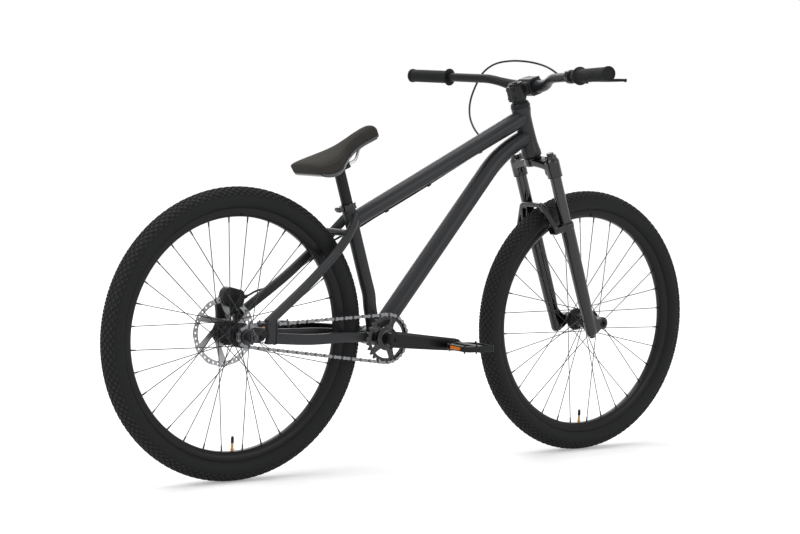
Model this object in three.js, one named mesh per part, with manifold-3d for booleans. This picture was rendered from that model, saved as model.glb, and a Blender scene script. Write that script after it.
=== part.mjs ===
// Dirt jump bike: hardtail frame, short suspension fork, single speed chain and a rear disc brake.
// Millimetres, +Z up. X points forward and Y to the rider's left, so the chain side is -Y.
// The origin is the centre of the bottom bracket shell, from which a frame is drawn.
import * as THREE from 'three';
import { mergeVertices } from 'three/addons/utils/BufferGeometryUtils.js';
import Module from 'manifold-3d';

const wasm = await Module();
wasm.setup();

const degrees = Math.PI / 180;
const fullTurn = 2 * Math.PI;

// Driving dimensions of the bike
const wheelbase = 1034.4;
const bracketDrop = 17.9;
const headAngle = 70.3 * degrees;
const forkOffset = 39.3;
const seatAngle = 71.9 * degrees;
const rearHubWidth = 135;
const frontHubWidth = 110;
const forkTravel = 100;

// Drive: the chain sets how far the rear axle sits behind the bracket
const chainPitch = 12.7;
const chainLinks = 80;
const ringTeeth = 28;
const cogTeeth = 11;
const chainLine = 50;
const crankLength = 175;

// Wheels
const beadSeatRadius = 279.5;
const tyreRadius = 332.5;
const tyreWidth = 53;
const rimWidth = 31;
const rimDepth = 20;
const spokeCount = 32;
const spokeDiameter = 2.4;

// Gaps kept between pieces
const seatGap = 0.3;
const runningGap = 0.6;
const cutOverrun = 5;

// A bore whose flats clear a round bar of the given radius
const clearOf = (radius, sides) => (radius + seatGap) / Math.cos(Math.PI / sides);

// Finishes
const finish = (color, roughness, metalness) => ({ color, roughness, metalness });
const frameGrey = finish(0x34363a, 0.55, 0.3);
const satinBlack = finish(0x1b1c1e, 0.5, 0.2);
const glossBlack = finish(0x0b0b0d, 0.18, 0.3);
const tyreRubber = finish(0x26282a, 0.9, 0);
const gripRubber = finish(0x17181a, 0.85, 0);
const brightSteel = finish(0xb9bcc0, 0.3, 0.9);
const darkSteel = finish(0x55575b, 0.4, 0.85);
const suede = finish(0x33302d, 0.95, 0);
const shellPlastic = finish(0x77797c, 0.5, 0);
const blackCable = finish(0x101113, 0.4, 0);

const v3 = (x, y, z) => new THREE.Vector3(x, y, z);

// Work shared by every piece: closed solids, sweeps and turned shapes

function toSolid(geometry) {
  const bare = geometry.clone();
  for (const name of Object.keys(bare.attributes)) {
    if (name !== 'position') bare.deleteAttribute(name);
  }
  const merged = mergeVertices(bare);
  const corners = merged.index.array;
  const points = merged.attributes.position.array;
  const triangles = [];
  let volume = 0;
  for (let i = 0; i < corners.length; i += 3) {
    const [a, b, c] = [corners[i], corners[i + 1], corners[i + 2]];
    if (a === b || b === c || c === a) continue;
    triangles.push(a, b, c);
    const [pa, pb, pc] = [a, b, c].map((k) => new THREE.Vector3().fromArray(points, 3 * k));
    volume += pa.dot(pb.cross(pc));
  }
  if (volume < 0) triangles.reverse();
  const mesh = new wasm.Mesh({
    numProp: 3,
    vertProperties: new Float32Array(points),
    triVerts: new Uint32Array(triangles),
  });
  return new wasm.Manifold(mesh);
}

function fromSolid(solid) {
  const mesh = solid.getMesh();
  const geometry = new THREE.BufferGeometry();
  const positions = new Float32Array(mesh.vertProperties.length / mesh.numProp * 3);
  for (let i = 0; i < positions.length / 3; i += 1) {
    for (let k = 0; k < 3; k += 1) positions[3 * i + k] = mesh.vertProperties[mesh.numProp * i + k];
  }
  geometry.setAttribute('position', new THREE.BufferAttribute(positions, 3));
  geometry.setIndex(new THREE.BufferAttribute(new Uint32Array(mesh.triVerts), 1));
  return geometry;
}

function join(...parts) {
  return fromSolid(parts.map(toSolid).reduce((sum, part) => sum.add(part)));
}

function cut(body, ...tools) {
  return fromSolid(tools.reduce((rest, tool) => rest.subtract(toSolid(tool)), toSolid(body)));
}

function common(body, tool) {
  return fromSolid(toSolid(body).intersect(toSolid(tool)));
}

function moved(geometry, x, y, z) {
  return geometry.clone().translate(x, y, z);
}

function mirrored(geometry) {
  return fromSolid(toSolid(geometry.clone().scale(1, -1, 1)));
}

// Rings of points joined into a closed skin, with a flat lid at each end
function loft(rings) {
  const count = rings[0].length;
  const points = rings.flat();
  const index = [];
  for (let r = 0; r < rings.length - 1; r += 1) {
    for (let k = 0; k < count; k += 1) {
      const a = r * count + k;
      const b = r * count + (k + 1) % count;
      index.push(a, b, a + count, b, b + count, a + count);
    }
  }
  const last = (rings.length - 1) * count;
  for (let k = 1; k < count - 1; k += 1) {
    index.push(0, k + 1, k);
    index.push(last, last + k, last + k + 1);
  }
  const geometry = new THREE.BufferGeometry().setFromPoints(points);
  geometry.setIndex(index);
  return geometry;
}

// A skin along a path; section(share) gives its half width, half height and squareness
function sweep(path, steps, sides, section, side = v3(0, 1, 0)) {
  const rings = [];
  for (let i = 0; i <= steps; i += 1) {
    const share = i / steps;
    const centre = path.getPointAt(share);
    const along = path.getTangentAt(share);
    const across = side.clone().addScaledVector(along, -side.dot(along)).normalize();
    const up = new THREE.Vector3().crossVectors(along, across);
    const { wide, high, square = 1 } = section(share);
    const ring = [];
    for (let k = 0; k < sides; k += 1) {
      const angle = (k + 0.5) / sides * fullTurn;
      const [c, s] = [Math.cos(angle), Math.sin(angle)];
      const a = Math.sign(c) * Math.abs(c) ** square * wide;
      const b = Math.sign(s) * Math.abs(s) ** square * high;
      ring.push(centre.clone().addScaledVector(across, a).addScaledVector(up, b));
    }
    rings.push(ring);
  }
  return loft(rings);
}

function straight(from, to) {
  return new THREE.LineCurve3(from, to);
}

function roundBar(from, to, radius, sides = 16, endRadius = radius) {
  const size = (share) => radius + (endRadius - radius) * share;
  const along = to.clone().sub(from);
  const side = Math.abs(along.y) > 0.9 * along.length() ? v3(1, 0, 0) : v3(0, 1, 0);
  return sweep(straight(from, to), 1, sides, (share) => ({ wide: size(share), high: size(share) }), side);
}

// A turned shape about Z, from a closed profile of [radius, height] points
function turned(profile, sides = 32) {
  const points = profile.map(([r, z]) => new THREE.Vector2(r, z));
  const geometry = new THREE.LatheGeometry(points, sides);
  geometry.rotateX(Math.PI / 2);
  return geometry;
}

// The same about Y, for wheels, hubs and everything on an axle
function turnedOnAxle(profile, sides = 32) {
  return turned(profile, sides).rotateX(-Math.PI / 2);
}

function washer(inner, outer, low, high, sides = 24) {
  return turned([[inner, low], [outer, low], [outer, high], [inner, high], [inner, low]], sides);
}

function disc(radius, low, high, sides = 24) {
  return turned([[0, low], [radius, low], [radius, high], [0, high]], sides);
}

function plate(outline, thickness, holes = []) {
  const points = outline.map(([x, y]) => new THREE.Vector2(x, y));
  const shape = new THREE.Shape(THREE.ShapeUtils.isClockWise(points) ? points.reverse() : points);
  for (const hole of holes) {
    shape.holes.push(new THREE.Path(hole.map(([x, y]) => new THREE.Vector2(x, y))));
  }
  return new THREE.ExtrudeGeometry(shape, { depth: thickness, bevelEnabled: false });
}

// A plate drawn in the side view (X, Z), from y = low to y = low + thickness
function sidePlate(outline, low, thickness, holes = []) {
  return plate(outline, thickness, holes).rotateX(Math.PI / 2).translate(0, low + thickness, 0);
}

function circle(x, y, radius, sides = 12, start = 0) {
  return Array.from({ length: sides }, (_, k) => {
    const angle = start + k / sides * fullTurn;
    return [x + radius * Math.cos(angle), y + radius * Math.sin(angle)];
  });
}

function block(x, y, z, sizeX, sizeY, sizeZ) {
  return new THREE.BoxGeometry(sizeX, sizeY, sizeZ).translate(x, y, z);
}

function mesh(parent, name, geometry, look) {
  const solid = fromSolid(toSolid(geometry));
  const piece = new THREE.Mesh(solid, new THREE.MeshStandardMaterial(look));
  piece.name = name;
  parent.add(piece);
  return piece;
}

// Reference places that the pieces share

const ringPitchRadius = chainPitch / (2 * Math.sin(Math.PI / ringTeeth));
const cogPitchRadius = chainPitch / (2 * Math.sin(Math.PI / cogTeeth));

// Centre distance at which the whole number of links just closes the loop
function chainCentreDistance() {
  let low = ringPitchRadius + cogPitchRadius;
  let high = chainPitch * chainLinks;
  const loop = (distance) => {
    const lean = Math.asin((ringPitchRadius - cogPitchRadius) / distance);
    const run = Math.sqrt(distance ** 2 - (ringPitchRadius - cogPitchRadius) ** 2);
    const onRing = ringTeeth * (Math.PI + 2 * lean) / fullTurn;
    const onCog = cogTeeth * (Math.PI - 2 * lean) / fullTurn;
    return 2 * run + (onRing + onCog) * chainPitch;
  };
  while (high - low > seatGap / 1e6) {
    const middle = (low + high) / 2;
    if (loop(middle) < chainPitch * chainLinks) low = middle;
    else high = middle;
  }
  return (low + high) / 2;
}

const chainCentres = chainCentreDistance();
const rearAxle = v3(-Math.sqrt(chainCentres ** 2 - bracketDrop ** 2), 0, bracketDrop);
const frontAxle = v3(rearAxle.x + wheelbase, 0, bracketDrop);

const headForward = v3(Math.sin(headAngle), 0, Math.cos(headAngle));
const headUp = v3(-Math.cos(headAngle), 0, Math.sin(headAngle));
const steeringFoot = frontAxle.clone().addScaledVector(headForward, -forkOffset);
const steeringMatrix = new THREE.Matrix4().makeBasis(headForward, v3(0, 1, 0), headUp)
  .setPosition(steeringFoot);

const seatUp = v3(-Math.cos(seatAngle), 0, Math.sin(seatAngle));
const seatTurn = new THREE.Matrix4().makeBasis(
  v3(Math.sin(seatAngle), 0, Math.cos(seatAngle)), v3(0, 1, 0), seatUp);

const bike = new THREE.Group();

const steering = new THREE.Group();
steering.position.copy(steeringFoot);
steering.quaternion.setFromRotationMatrix(steeringMatrix);
bike.add(steering);

// Head tube: hourglass, machined inside for the headset. Heights here run up the steering axis
const headTubeLow = 460;
const headTubeHigh = 585;
const headTubeTopRadius = 24;
const headTubeWaistRadius = 20.5;
const headTubeBottomRadius = 24.5;
const headTubeLipHeight = 9;
const steererRadius = 14.3;
const headTubeWall = 2.6;
const headBore = headTubeWaistRadius - headTubeWall;
const cupBoreRadius = headTubeTopRadius - headTubeWall;
const cupDepth = 13;
const waistLowShare = 0.5;
const waistHighShare = 0.78;
const headLength = headTubeHigh - headTubeLow;

function headTubeProfile(grow) {
  const outer = [
    [headTubeBottomRadius, headTubeLow],
    [headTubeBottomRadius, headTubeLow + headTubeLipHeight],
    [headTubeWaistRadius, headTubeLow + headLength * waistLowShare],
    [headTubeWaistRadius, headTubeLow + headLength * waistHighShare],
    [headTubeTopRadius, headTubeHigh - headTubeLipHeight],
    [headTubeTopRadius, headTubeHigh],
  ];
  return outer.map(([r, z]) => [r + grow, z]);
}

const headTubeSeat = turned([[0, headTubeLow], ...headTubeProfile(seatGap), [0, headTubeHigh]], 14)
  .applyMatrix4(steeringMatrix);
const headTubeSolid = turned([
  ...headTubeProfile(0),
  [cupBoreRadius, headTubeHigh],
  [cupBoreRadius, headTubeHigh - cupDepth],
  [headBore, headTubeHigh - cupDepth],
  [headBore, headTubeLow + cupDepth],
  [cupBoreRadius, headTubeLow + cupDepth],
  [cupBoreRadius, headTubeLow],
  [headTubeBottomRadius, headTubeLow],
], 14).applyMatrix4(steeringMatrix);
mesh(bike, 'head_tube', headTubeSolid, frameGrey);

function onSteering(x, y, z) {
  return v3(x, y, z).applyMatrix4(steeringMatrix);
}

// Headset: one cup pressed in each end of the head tube, with a bore for the steerer
const cupBoreInside = steererRadius + 2 * runningGap;
const upperCupHeight = 12;
const lowerCupHeight = 4.5;
const cupLipRadius = headTubeTopRadius + 0.8;
const cupTopRadius = headTubeTopRadius - 3.2;

function cup(endHeight, direction, height, lipRadius) {
  const lip = endHeight + direction * seatGap;
  const face = lip + direction * height;
  const inner = endHeight - direction * (cupDepth - seatGap);
  return turned([
    [cupBoreInside, inner],
    [cupBoreRadius - seatGap, inner],
    [cupBoreRadius - seatGap, lip],
    [lipRadius, lip],
    [cupTopRadius, face],
    [cupBoreInside, face],
    [cupBoreInside, inner],
  ], 14).applyMatrix4(steeringMatrix);
}

mesh(bike, 'headset_upper_cup', cup(headTubeHigh, 1, upperCupHeight, cupLipRadius), glossBlack);
mesh(bike, 'headset_lower_cup', cup(headTubeLow, -1, lowerCupHeight, headTubeBottomRadius), glossBlack);

// Seat tube: straight at the post, then bent upright above the bracket so that the tyre clears it
const seatTubeRadius = 15.9;
const seatpostRadius = 13.6;
const seatTubeTop = 310;
const seatLineForward = -31.6;
const seatLineHeight = 131.5;
const seatTubeBend = 66;
const seatTubeFoot = 22;
const seatTubeFootForward = -5;
const seatBoreDepth = 190;

function onSeatLine(height, radiusOffset = 0) {
  const run = (height - seatLineHeight) / seatUp.z;
  const place = v3(seatLineForward, 0, seatLineHeight).addScaledVector(seatUp, run);
  return place.add(v3(radiusOffset * Math.sin(seatAngle), 0, radiusOffset * Math.cos(seatAngle)));
}

function seatTubeSkin(radius, foot) {
  const path = new THREE.CurvePath();
  const bend = onSeatLine(seatTubeBend + seatTubeRadius);
  const low = v3(seatTubeFootForward, 0, foot);
  const control = onSeatLine(seatTubeBend - seatTubeRadius);
  path.add(new THREE.QuadraticBezierCurve3(low, control, bend));
  path.add(straight(bend, onSeatLine(seatTubeTop)));
  return sweep(path, 5, 12, () => ({ wide: radius, high: radius }));
}

const seatTubeSeat = seatTubeSkin(seatTubeRadius + seatGap, 0);
const seatBore = roundBar(onSeatLine(seatTubeTop - seatBoreDepth), onSeatLine(seatTubeTop + cutOverrun),
  seatpostRadius + seatGap, 12);

// Bottom bracket shell, with the cups outside it
const shellRadius = 21.5;
const shellHalfWidth = 34;
const shellBore = 17.5;
const axleRadius = 12;
const bracketCupRadius = 22;
const bracketCupWidth = 8;
const bracketCupBore = axleRadius + 2 * runningGap;

const shellSeat = turnedOnAxle([[0, -shellHalfWidth], [shellRadius + seatGap, -shellHalfWidth],
  [shellRadius + seatGap, shellHalfWidth], [0, shellHalfWidth]], 16);
mesh(bike, 'bottom_bracket_shell', turnedOnAxle([
  [shellBore, -shellHalfWidth], [shellRadius, -shellHalfWidth],
  [shellRadius, shellHalfWidth], [shellBore, shellHalfWidth], [shellBore, -shellHalfWidth],
], 16), frameGrey);

function bracketCup(side) {
  const start = side * (shellHalfWidth + seatGap);
  const inner = side * (shellHalfWidth / 2);
  const face = start + side * bracketCupWidth;
  return turnedOnAxle([
    [bracketCupBore, inner], [shellBore - seatGap, inner],
    [shellBore - seatGap, start], [bracketCupRadius, start],
    [bracketCupRadius, face], [bracketCupBore, face], [bracketCupBore, inner],
  ], 16);
}

mesh(bike, 'bottom_bracket_cup_left', bracketCup(1), satinBlack);
mesh(bike, 'bottom_bracket_cup_right', bracketCup(-1), satinBlack);

mesh(bike, 'seat_tube', cut(seatTubeSkin(seatTubeRadius, 0), seatBore, shellSeat), frameGrey);

// Top tube: swells from the seat tube to the head tube, coped to both
const topTubeRearRadius = 18.6;
const topTubeFrontRadius = 21.8;
const topTubeHeadHeight = 559;
const topTubeSeatHeight = 272;
const topTubeStart = onSeatLine(topTubeSeatHeight);
const topTubeEnd = onSteering(0, 0, topTubeHeadHeight);

function topTubeSkin(grow) {
  return roundBar(topTubeStart, topTubeEnd, topTubeRearRadius + grow, 14, topTubeFrontRadius + grow);
}

const topTube = cut(topTubeSkin(0), headTubeSeat, seatTubeSeat);

// Down tube: straight from the bracket, then bent flat behind the head tube to clear the fork crown
const downTubeRadius = 22.3;
const downTubeHeadRadius = 20.5;
const downTubeHeadHeight = 510;
const downTubeBendForward = 322;
const downTubeBendHeight = 396;
const downTubeControlForward = 366;
const downTubeControlHeight = 449;

function downTubeSkin(grow) {
  const path = new THREE.CurvePath();
  const bend = v3(downTubeBendForward, 0, downTubeBendHeight);
  const control = v3(downTubeControlForward, 0, downTubeControlHeight);
  path.add(straight(v3(0, 0, 0), bend));
  path.add(new THREE.QuadraticBezierCurve3(bend, control, onSteering(0, 0, downTubeHeadHeight)));
  const size = (share) => downTubeRadius + (downTubeHeadRadius - downTubeRadius) * share ** 4;
  return sweep(path, 8, 14, (share) => ({ wide: size(share) + grow, high: size(share) + grow }));
}

mesh(bike, 'down_tube',
  cut(downTubeSkin(0), shellSeat, seatTubeSeat, headTubeSeat, topTubeSkin(seatGap)), frameGrey);

// Outlines are written as shares of the sizes that they follow
const scaled = (shares, sizeX, sizeZ) => shares.map(([a, b]) => [a * sizeX, b * sizeZ]);

// Rear dropouts: a forged plate on each side with a level slot for the axle, thickened in front into a
// hood that takes both stays
const dropoutThickness = 7;
const dropoutInside = rearHubWidth / 2;
const axleThreadRadius = 5;
const slotLength = 24;
const dropoutReach = 58;
const dropoutHalfHeight = 16;
const hoodTop = 36;
const hoodStart = 32;
const hoodThickness = 15;
const dropoutMiddle = dropoutInside + dropoutThickness / 2;
const dropoutTailShares = [[-0.22, -0.7], [0, -1], [1, -1]];
const dropoutHoodShares = [[1, 1], [0.62, 0.95], [0.5, 0.72]];
const dropoutNoseShares = [[0.26, 1], [0, 1], [-0.22, 0.7], [-0.3, 0]];
const hoodBackShares = [[1, 1], [0.1, 1], [0.3, 0.55], [0.36, 0.1]];
const hoodFootShares = [[0.2, -1], [1, -1]];

const slotEndSides = 4;

function slotOutline(x, z, radius, length) {
  const ends = slotEndSides;
  const points = [];
  for (let k = 0; k <= ends; k += 1) {
    const angle = Math.PI / 2 + k / ends * Math.PI;
    points.push([x + radius * Math.cos(angle), z + radius * Math.sin(angle)]);
  }
  for (let k = 0; k <= ends; k += 1) {
    const angle = -Math.PI / 2 + k / ends * Math.PI;
    points.push([x + length + radius * Math.cos(angle), z + radius * Math.sin(angle)]);
  }
  return points;
}

function dropoutSolid() {
  const outline = [
    ...scaled(dropoutTailShares, dropoutReach, dropoutHalfHeight),
    ...scaled(dropoutHoodShares, dropoutReach, hoodTop),
    ...scaled(dropoutNoseShares, dropoutReach, dropoutHalfHeight),
  ];
  const slot = slotOutline(0, 0, clearOf(axleThreadRadius, 2 * slotEndSides), slotLength);
  const hoodReach = dropoutReach - hoodStart;
  const hood = [
    ...scaled(hoodBackShares, hoodReach, hoodTop),
    ...scaled(hoodFootShares, hoodReach, dropoutHalfHeight),
  ].map(([x, z]) => [x + hoodStart, z]);
  return join(sidePlate(outline, dropoutInside, dropoutThickness, [slot]),
    sidePlate(hood, dropoutMiddle - hoodThickness / 2, hoodThickness))
    .translate(rearAxle.x, 0, rearAxle.z);
}

const dropout = dropoutSolid();
mesh(bike, 'dropout_right', mirrored(dropout), frameGrey);

// Brake rotor sizes come first, because the caliper mount on the left dropout follows them
const rotorRadius = 80;
const rotorThickness = 1.8;
const rotorPlane = 52;
const caliperAngle = 76 * degrees;
const caliperMatrix = new THREE.Matrix4().makeBasis(
  v3(Math.cos(caliperAngle), 0, Math.sin(caliperAngle)), v3(0, 1, 0),
  v3(-Math.sin(caliperAngle), 0, Math.cos(caliperAngle))).setPosition(rearAxle.x, rotorPlane, rearAxle.z);

// In the caliper's own frame x runs out from the axle, y off the rotor to the left and z backwards
const caliperInner = 58;
const caliperOuter = 102;
const caliperHalf = 28;
const caliperLeft = 15;
const caliperRight = 12;
const mountSpacing = 46;
const mountLugRadius = 8;
const mountThickness = 6;
const mountRadius = 66;
const mountInside = caliperLeft + seatGap;
const mountBoltRadius = 3;

// The left dropout also carries the two lugs of the brake caliper
function caliperMount() {
  const lugs = [-1, 1].map((end) => circle(mountRadius, end * mountSpacing / 2, mountLugRadius, 8));
  const low = mountInside;
  const web = [[0, -mountSpacing / 4], [mountRadius, -mountSpacing / 2 - mountLugRadius * 0.8],
    [mountRadius + mountLugRadius * 0.6, -mountSpacing / 2 + mountLugRadius * 0.6],
    [mountRadius - mountLugRadius, 0],
    [mountRadius + mountLugRadius * 0.6, mountSpacing / 2 - mountLugRadius * 0.6],
    [mountRadius, mountSpacing / 2 + mountLugRadius * 0.8], [0, mountSpacing / 4]];
  const pieces = [web, ...lugs].map((outline) => sidePlate(outline, low, mountThickness));
  const holes = lugs.map((_, k) => roundBar(
    v3(mountRadius, 0, (k * 2 - 1) * mountSpacing / 2),
    v3(mountRadius, mountInside + mountThickness + cutOverrun, (k * 2 - 1) * mountSpacing / 2),
    clearOf(mountBoltRadius, 8), 8));
  return cut(join(...pieces), ...holes).applyMatrix4(caliperMatrix);
}

const slotSeat = roundBar(v3(rearAxle.x, 0, rearAxle.z), v3(rearAxle.x, rearHubWidth, rearAxle.z),
  dropoutHalfHeight, 20);
mesh(bike, 'dropout_left', join(dropout, cut(caliperMount(), slotSeat)), frameGrey);

// Chainstays: tall box section tubes from the bracket shell to the dropouts
const chainstayHeight = 25;
const chainstayWidth = 15;
const chainstayFrontHeight = 21;
const chainstaySquareness = 0.55;
const chainstayShellSide = 20;
const chainstayShellForward = -10;
const chainstayMidSide = 36;
const chainstayMidForward = -60;
const chainstayTyreSide = 51;
const chainstayTyreForward = -120;
const chainstayRearSide = 63;
const chainstayRearForward = -225;
const chainstayEndForward = rearAxle.x + dropoutReach + seatGap;
const chainstayEndHeight = rearAxle.z - dropoutHalfHeight + chainstayHeight / 2;
const chainstayMidHeight = 7;

function chainstaySkin(grow) {
  const path = new THREE.CatmullRomCurve3([
    v3(chainstayShellForward, chainstayShellSide, 0),
    v3(chainstayMidForward, chainstayMidSide, chainstayMidHeight / 2),
    v3(chainstayTyreForward, chainstayTyreSide, chainstayMidHeight),
    v3(chainstayRearForward, chainstayRearSide, chainstayMidHeight),
    v3(chainstayEndForward, dropoutMiddle, chainstayEndHeight),
  ]);
  const rise = chainstayHeight - chainstayFrontHeight;
  return sweep(path, 7, 10, (share) => ({
    wide: chainstayWidth / 2 + grow,
    high: (chainstayFrontHeight + rise * Math.sqrt(share)) / 2 + grow,
    square: chainstaySquareness,
  }));
}

const wheelRoom = 5;
const clearHalf = tyreWidth / 2 + wheelRoom;
const clearRadius = tyreRadius + wheelRoom;
const wheelClearance = turnedOnAxle([[0, -clearHalf], [clearRadius, -clearHalf],
  [clearRadius, clearHalf], [0, clearHalf]], 48).translate(rearAxle.x, 0, rearAxle.z);
const dropoutSeat = block(rearAxle.x, dropoutMiddle, rearAxle.z, 2 * (dropoutReach + seatGap),
  2 * hoodThickness, 2 * (hoodTop + seatGap));
const leftChainstay = cut(chainstaySkin(0), shellSeat, seatTubeSeat, downTubeSkin(seatGap),
  wheelClearance, dropoutSeat);
mesh(bike, 'chainstay_left', leftChainstay, frameGrey);
mesh(bike, 'chainstay_right', mirrored(leftChainstay), frameGrey);

// Seatstays: from the hoods of the dropouts, bowed wide of the tyre, in to the seat tube
const seatstayRadius = 9.2;
const seatstayHeight = 11;
const seatstaySquareness = 0.85;
const seatstayFootForward = rearAxle.x + dropoutReach * 0.8;
const seatstayLowForward = -217;
const seatstayLowSide = 57;
const seatstayLowHeight = 143;
const seatstayMidForward = -148;
const seatstayMidSide = 49;
const seatstayMidHeight = 204;
const seatstayHighForward = -108;
const seatstayHighSide = 36;
const seatstayHighHeight = 243;
const seatstayTopHeight = 280;
const seatstayTopSide = 18;

function seatstaySkin(grow) {
  const path = new THREE.CatmullRomCurve3([
    v3(seatstayFootForward, dropoutMiddle, rearAxle.z + hoodTop),
    v3(seatstayLowForward, seatstayLowSide, seatstayLowHeight),
    v3(seatstayMidForward, seatstayMidSide, seatstayMidHeight),
    v3(seatstayHighForward, seatstayHighSide, seatstayHighHeight),
    onSeatLine(seatstayTopHeight).setY(seatstayTopSide),
  ]);
  const wide = seatstayRadius + grow;
  return sweep(path, 8, 10, () => ({ wide, high: seatstayHeight + grow, square: seatstaySquareness }));
}

// A short tube bridges the seatstays above the tyre and holds them apart
const bridgeRadius = 8;
const bridgeForward = -117;
const bridgeHeight = 247;
const bridgeHalf = seatstayHighSide + seatstayRadius / 2;
const bridge = roundBar(v3(bridgeForward, -bridgeHalf, bridgeHeight),
  v3(bridgeForward, bridgeHalf, bridgeHeight), bridgeRadius, 10);
const leftStay = cut(seatstaySkin(0), seatTubeSeat, topTubeSkin(seatGap), wheelClearance, dropoutSeat);
mesh(bike, 'seatstay_right', mirrored(leftStay), frameGrey);

// Rear brake hose: its places are hand-chosen points along the real route, on the bike and then on the
// bars. It hangs in front of the left bar and runs back under the top tube and the left seatstay
const hoseRadius = 2.5;
const hoseSides = 8;
const hoseOnFrame = [[314.8, 10, 448.9], [258, 7.4, 419.4], [201, 4.6, 389.8], [144.8, 2, 360.6],
  [94, 1, 334.4], [43, 0.5, 308.6], [-8, 2, 282.6], [-44, 15, 258], [-78, 31, 238], [-112, 47, 214],
  [-150, 60, 179], [-200, 73, 142], [-245, 81, 116], [-285, 78, 106], [-307, 67, 100], [-320, 60, 97]];
const hoseOnBars = [[430, -161.2, 621.9], [432.6, -148, 622], [436, -126, 631], [441, -85, 648], [447, -40, 660],
  [440, 5, 668], [429, 60, 670], [422, 115, 662], [421, 160, 640], [416, 182, 606], [402, 182, 570],
  [380, 155, 533], [356, 105, 500], [342, 55, 475], [332, 22, 460], [323.8, 11.4, 453.8], [315.4, 10.05, 449.3]];
const hosePath = (places) => new THREE.CatmullRomCurve3(
  places.map(([x, y, z]) => v3(x, y, z)), false, 'centripetal');

function hose(places, steps) {
  const section = new THREE.Shape(circle(0, 0, hoseRadius, hoseSides).map(
    ([x, y]) => new THREE.Vector2(x, y)));
  return new THREE.ExtrudeGeometry(section, { steps, extrudePath: hosePath(places), bevelEnabled: false });
}

// A guide is a short sleeve round the hose with a foot on the tube that carries it
const guideBore = 3.3;
const guideRadius = 5;
const guideLength = 9;
const guideFootRadius = 3.4;

function guideAt(share, seatPlace) {
  const path = hosePath(hoseOnFrame);
  const centre = path.getPointAt(share);
  const along = path.getTangentAt(share).multiplyScalar(guideLength / 2);
  const start = centre.clone().sub(along);
  const end = centre.clone().add(along);
  return join(roundBar(start, end, guideRadius, 6), roundBar(centre, seatPlace(centre), guideFootRadius, 4));
}

function guideBores(shares) {
  const path = hosePath(hoseOnFrame);
  return shares.map((share) => {
    const centre = path.getPointAt(share);
    const along = path.getTangentAt(share).multiplyScalar(guideLength);
    return roundBar(centre.clone().sub(along), centre.clone().add(along), guideBore, 6);
  });
}

const topTubeLine = new THREE.Line3(topTubeStart, topTubeEnd);
const onTopTube = (place) => topTubeLine.closestPointToPoint(place, true, new THREE.Vector3());
const leftStayLine = new THREE.Line3(v3(seatstayHighForward, seatstayHighSide, seatstayHighHeight),
  v3(seatstayLowForward, seatstayLowSide, seatstayLowHeight));
const onLeftStay = (place) => leftStayLine.closestPointToPoint(place, true, new THREE.Vector3());
const topTubeGuideShares = [0.012, 0.245, 0.43];
const stayGuideShares = [0.665];

mesh(bike, 'top_tube', cut(join(topTube, ...topTubeGuideShares.map((share) => guideAt(share, onTopTube))),
  ...guideBores(topTubeGuideShares)), frameGrey);
mesh(bike, 'seatstay_left', cut(join(leftStay, cut(bridge, mirrored(seatstaySkin(seatGap))),
  ...stayGuideShares.map((share) => guideAt(share, onLeftStay))), ...guideBores(stayGuideShares)), frameGrey);

const hoseStepsOnFrame = 24;
const hoseStepsOnBars = 26;
mesh(bike, 'brake_hose_frame', hose(hoseOnFrame, hoseStepsOnFrame), blackCable);
mesh(bike, 'brake_hose_bars', hose(hoseOnBars, hoseStepsOnBars), blackCable);

// Seat clamp: a split collar round the top of the seat tube, pulled tight by a cross bolt behind
const collarHeight = 15;
const collarGrip = 11;
const collarWall = 3.8;
const collarLip = 2.4;
const collarEarReach = 14;
const collarEarHalf = 9;
const collarBoltRadius = 2.8;
const collarHeadRadius = 4.6;
const collarHeadHeight = 4;
const collarSlit = 2.4;
const collarBore = clearOf(seatTubeRadius, 14);
const collarOuter = seatTubeRadius + seatGap + collarWall;
const collarFoot = onSeatLine(seatTubeTop).addScaledVector(seatUp, -collarGrip);
const seatMatrix = seatTurn.clone().setPosition(collarFoot);

function seatClamp() {
  const postBore = seatpostRadius + 2 * seatGap;
  const ring = turned([
    [collarBore, 0], [collarOuter, 0], [collarOuter, collarHeight],
    [postBore, collarHeight], [postBore, collarGrip + seatGap], [collarBore, collarGrip + seatGap],
    [collarBore, 0]], 14);
  const earMiddle = -collarOuter - collarEarReach / 4;
  const ears = cut(block(earMiddle, 0, collarHeight / 2, collarEarReach, 2 * collarEarHalf,
    collarHeight - collarLip), disc(collarBore + collarWall / 2, -cutOverrun, collarHeight + cutOverrun, 16));
  const slit = block(-collarOuter, 0, collarHeight / 2, 2 * collarEarReach, collarSlit, 2 * collarHeight);
  const boltX = earMiddle - collarEarReach / 8;
  const boltEnd = collarEarHalf + collarHeadHeight;
  const bolt = roundBar(v3(boltX, -boltEnd, collarHeight / 2), v3(boltX, boltEnd, collarHeight / 2),
    collarBoltRadius, 6);
  const heads = [-1, 1].map((side) => roundBar(v3(boltX, side * collarEarHalf, collarHeight / 2),
    v3(boltX, side * boltEnd, collarHeight / 2), collarHeadRadius, 7));
  return join(cut(join(ring, ears), slit), bolt, ...heads).applyMatrix4(seatMatrix);
}

mesh(bike, 'seat_clamp', seatClamp(), satinBlack);

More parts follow.
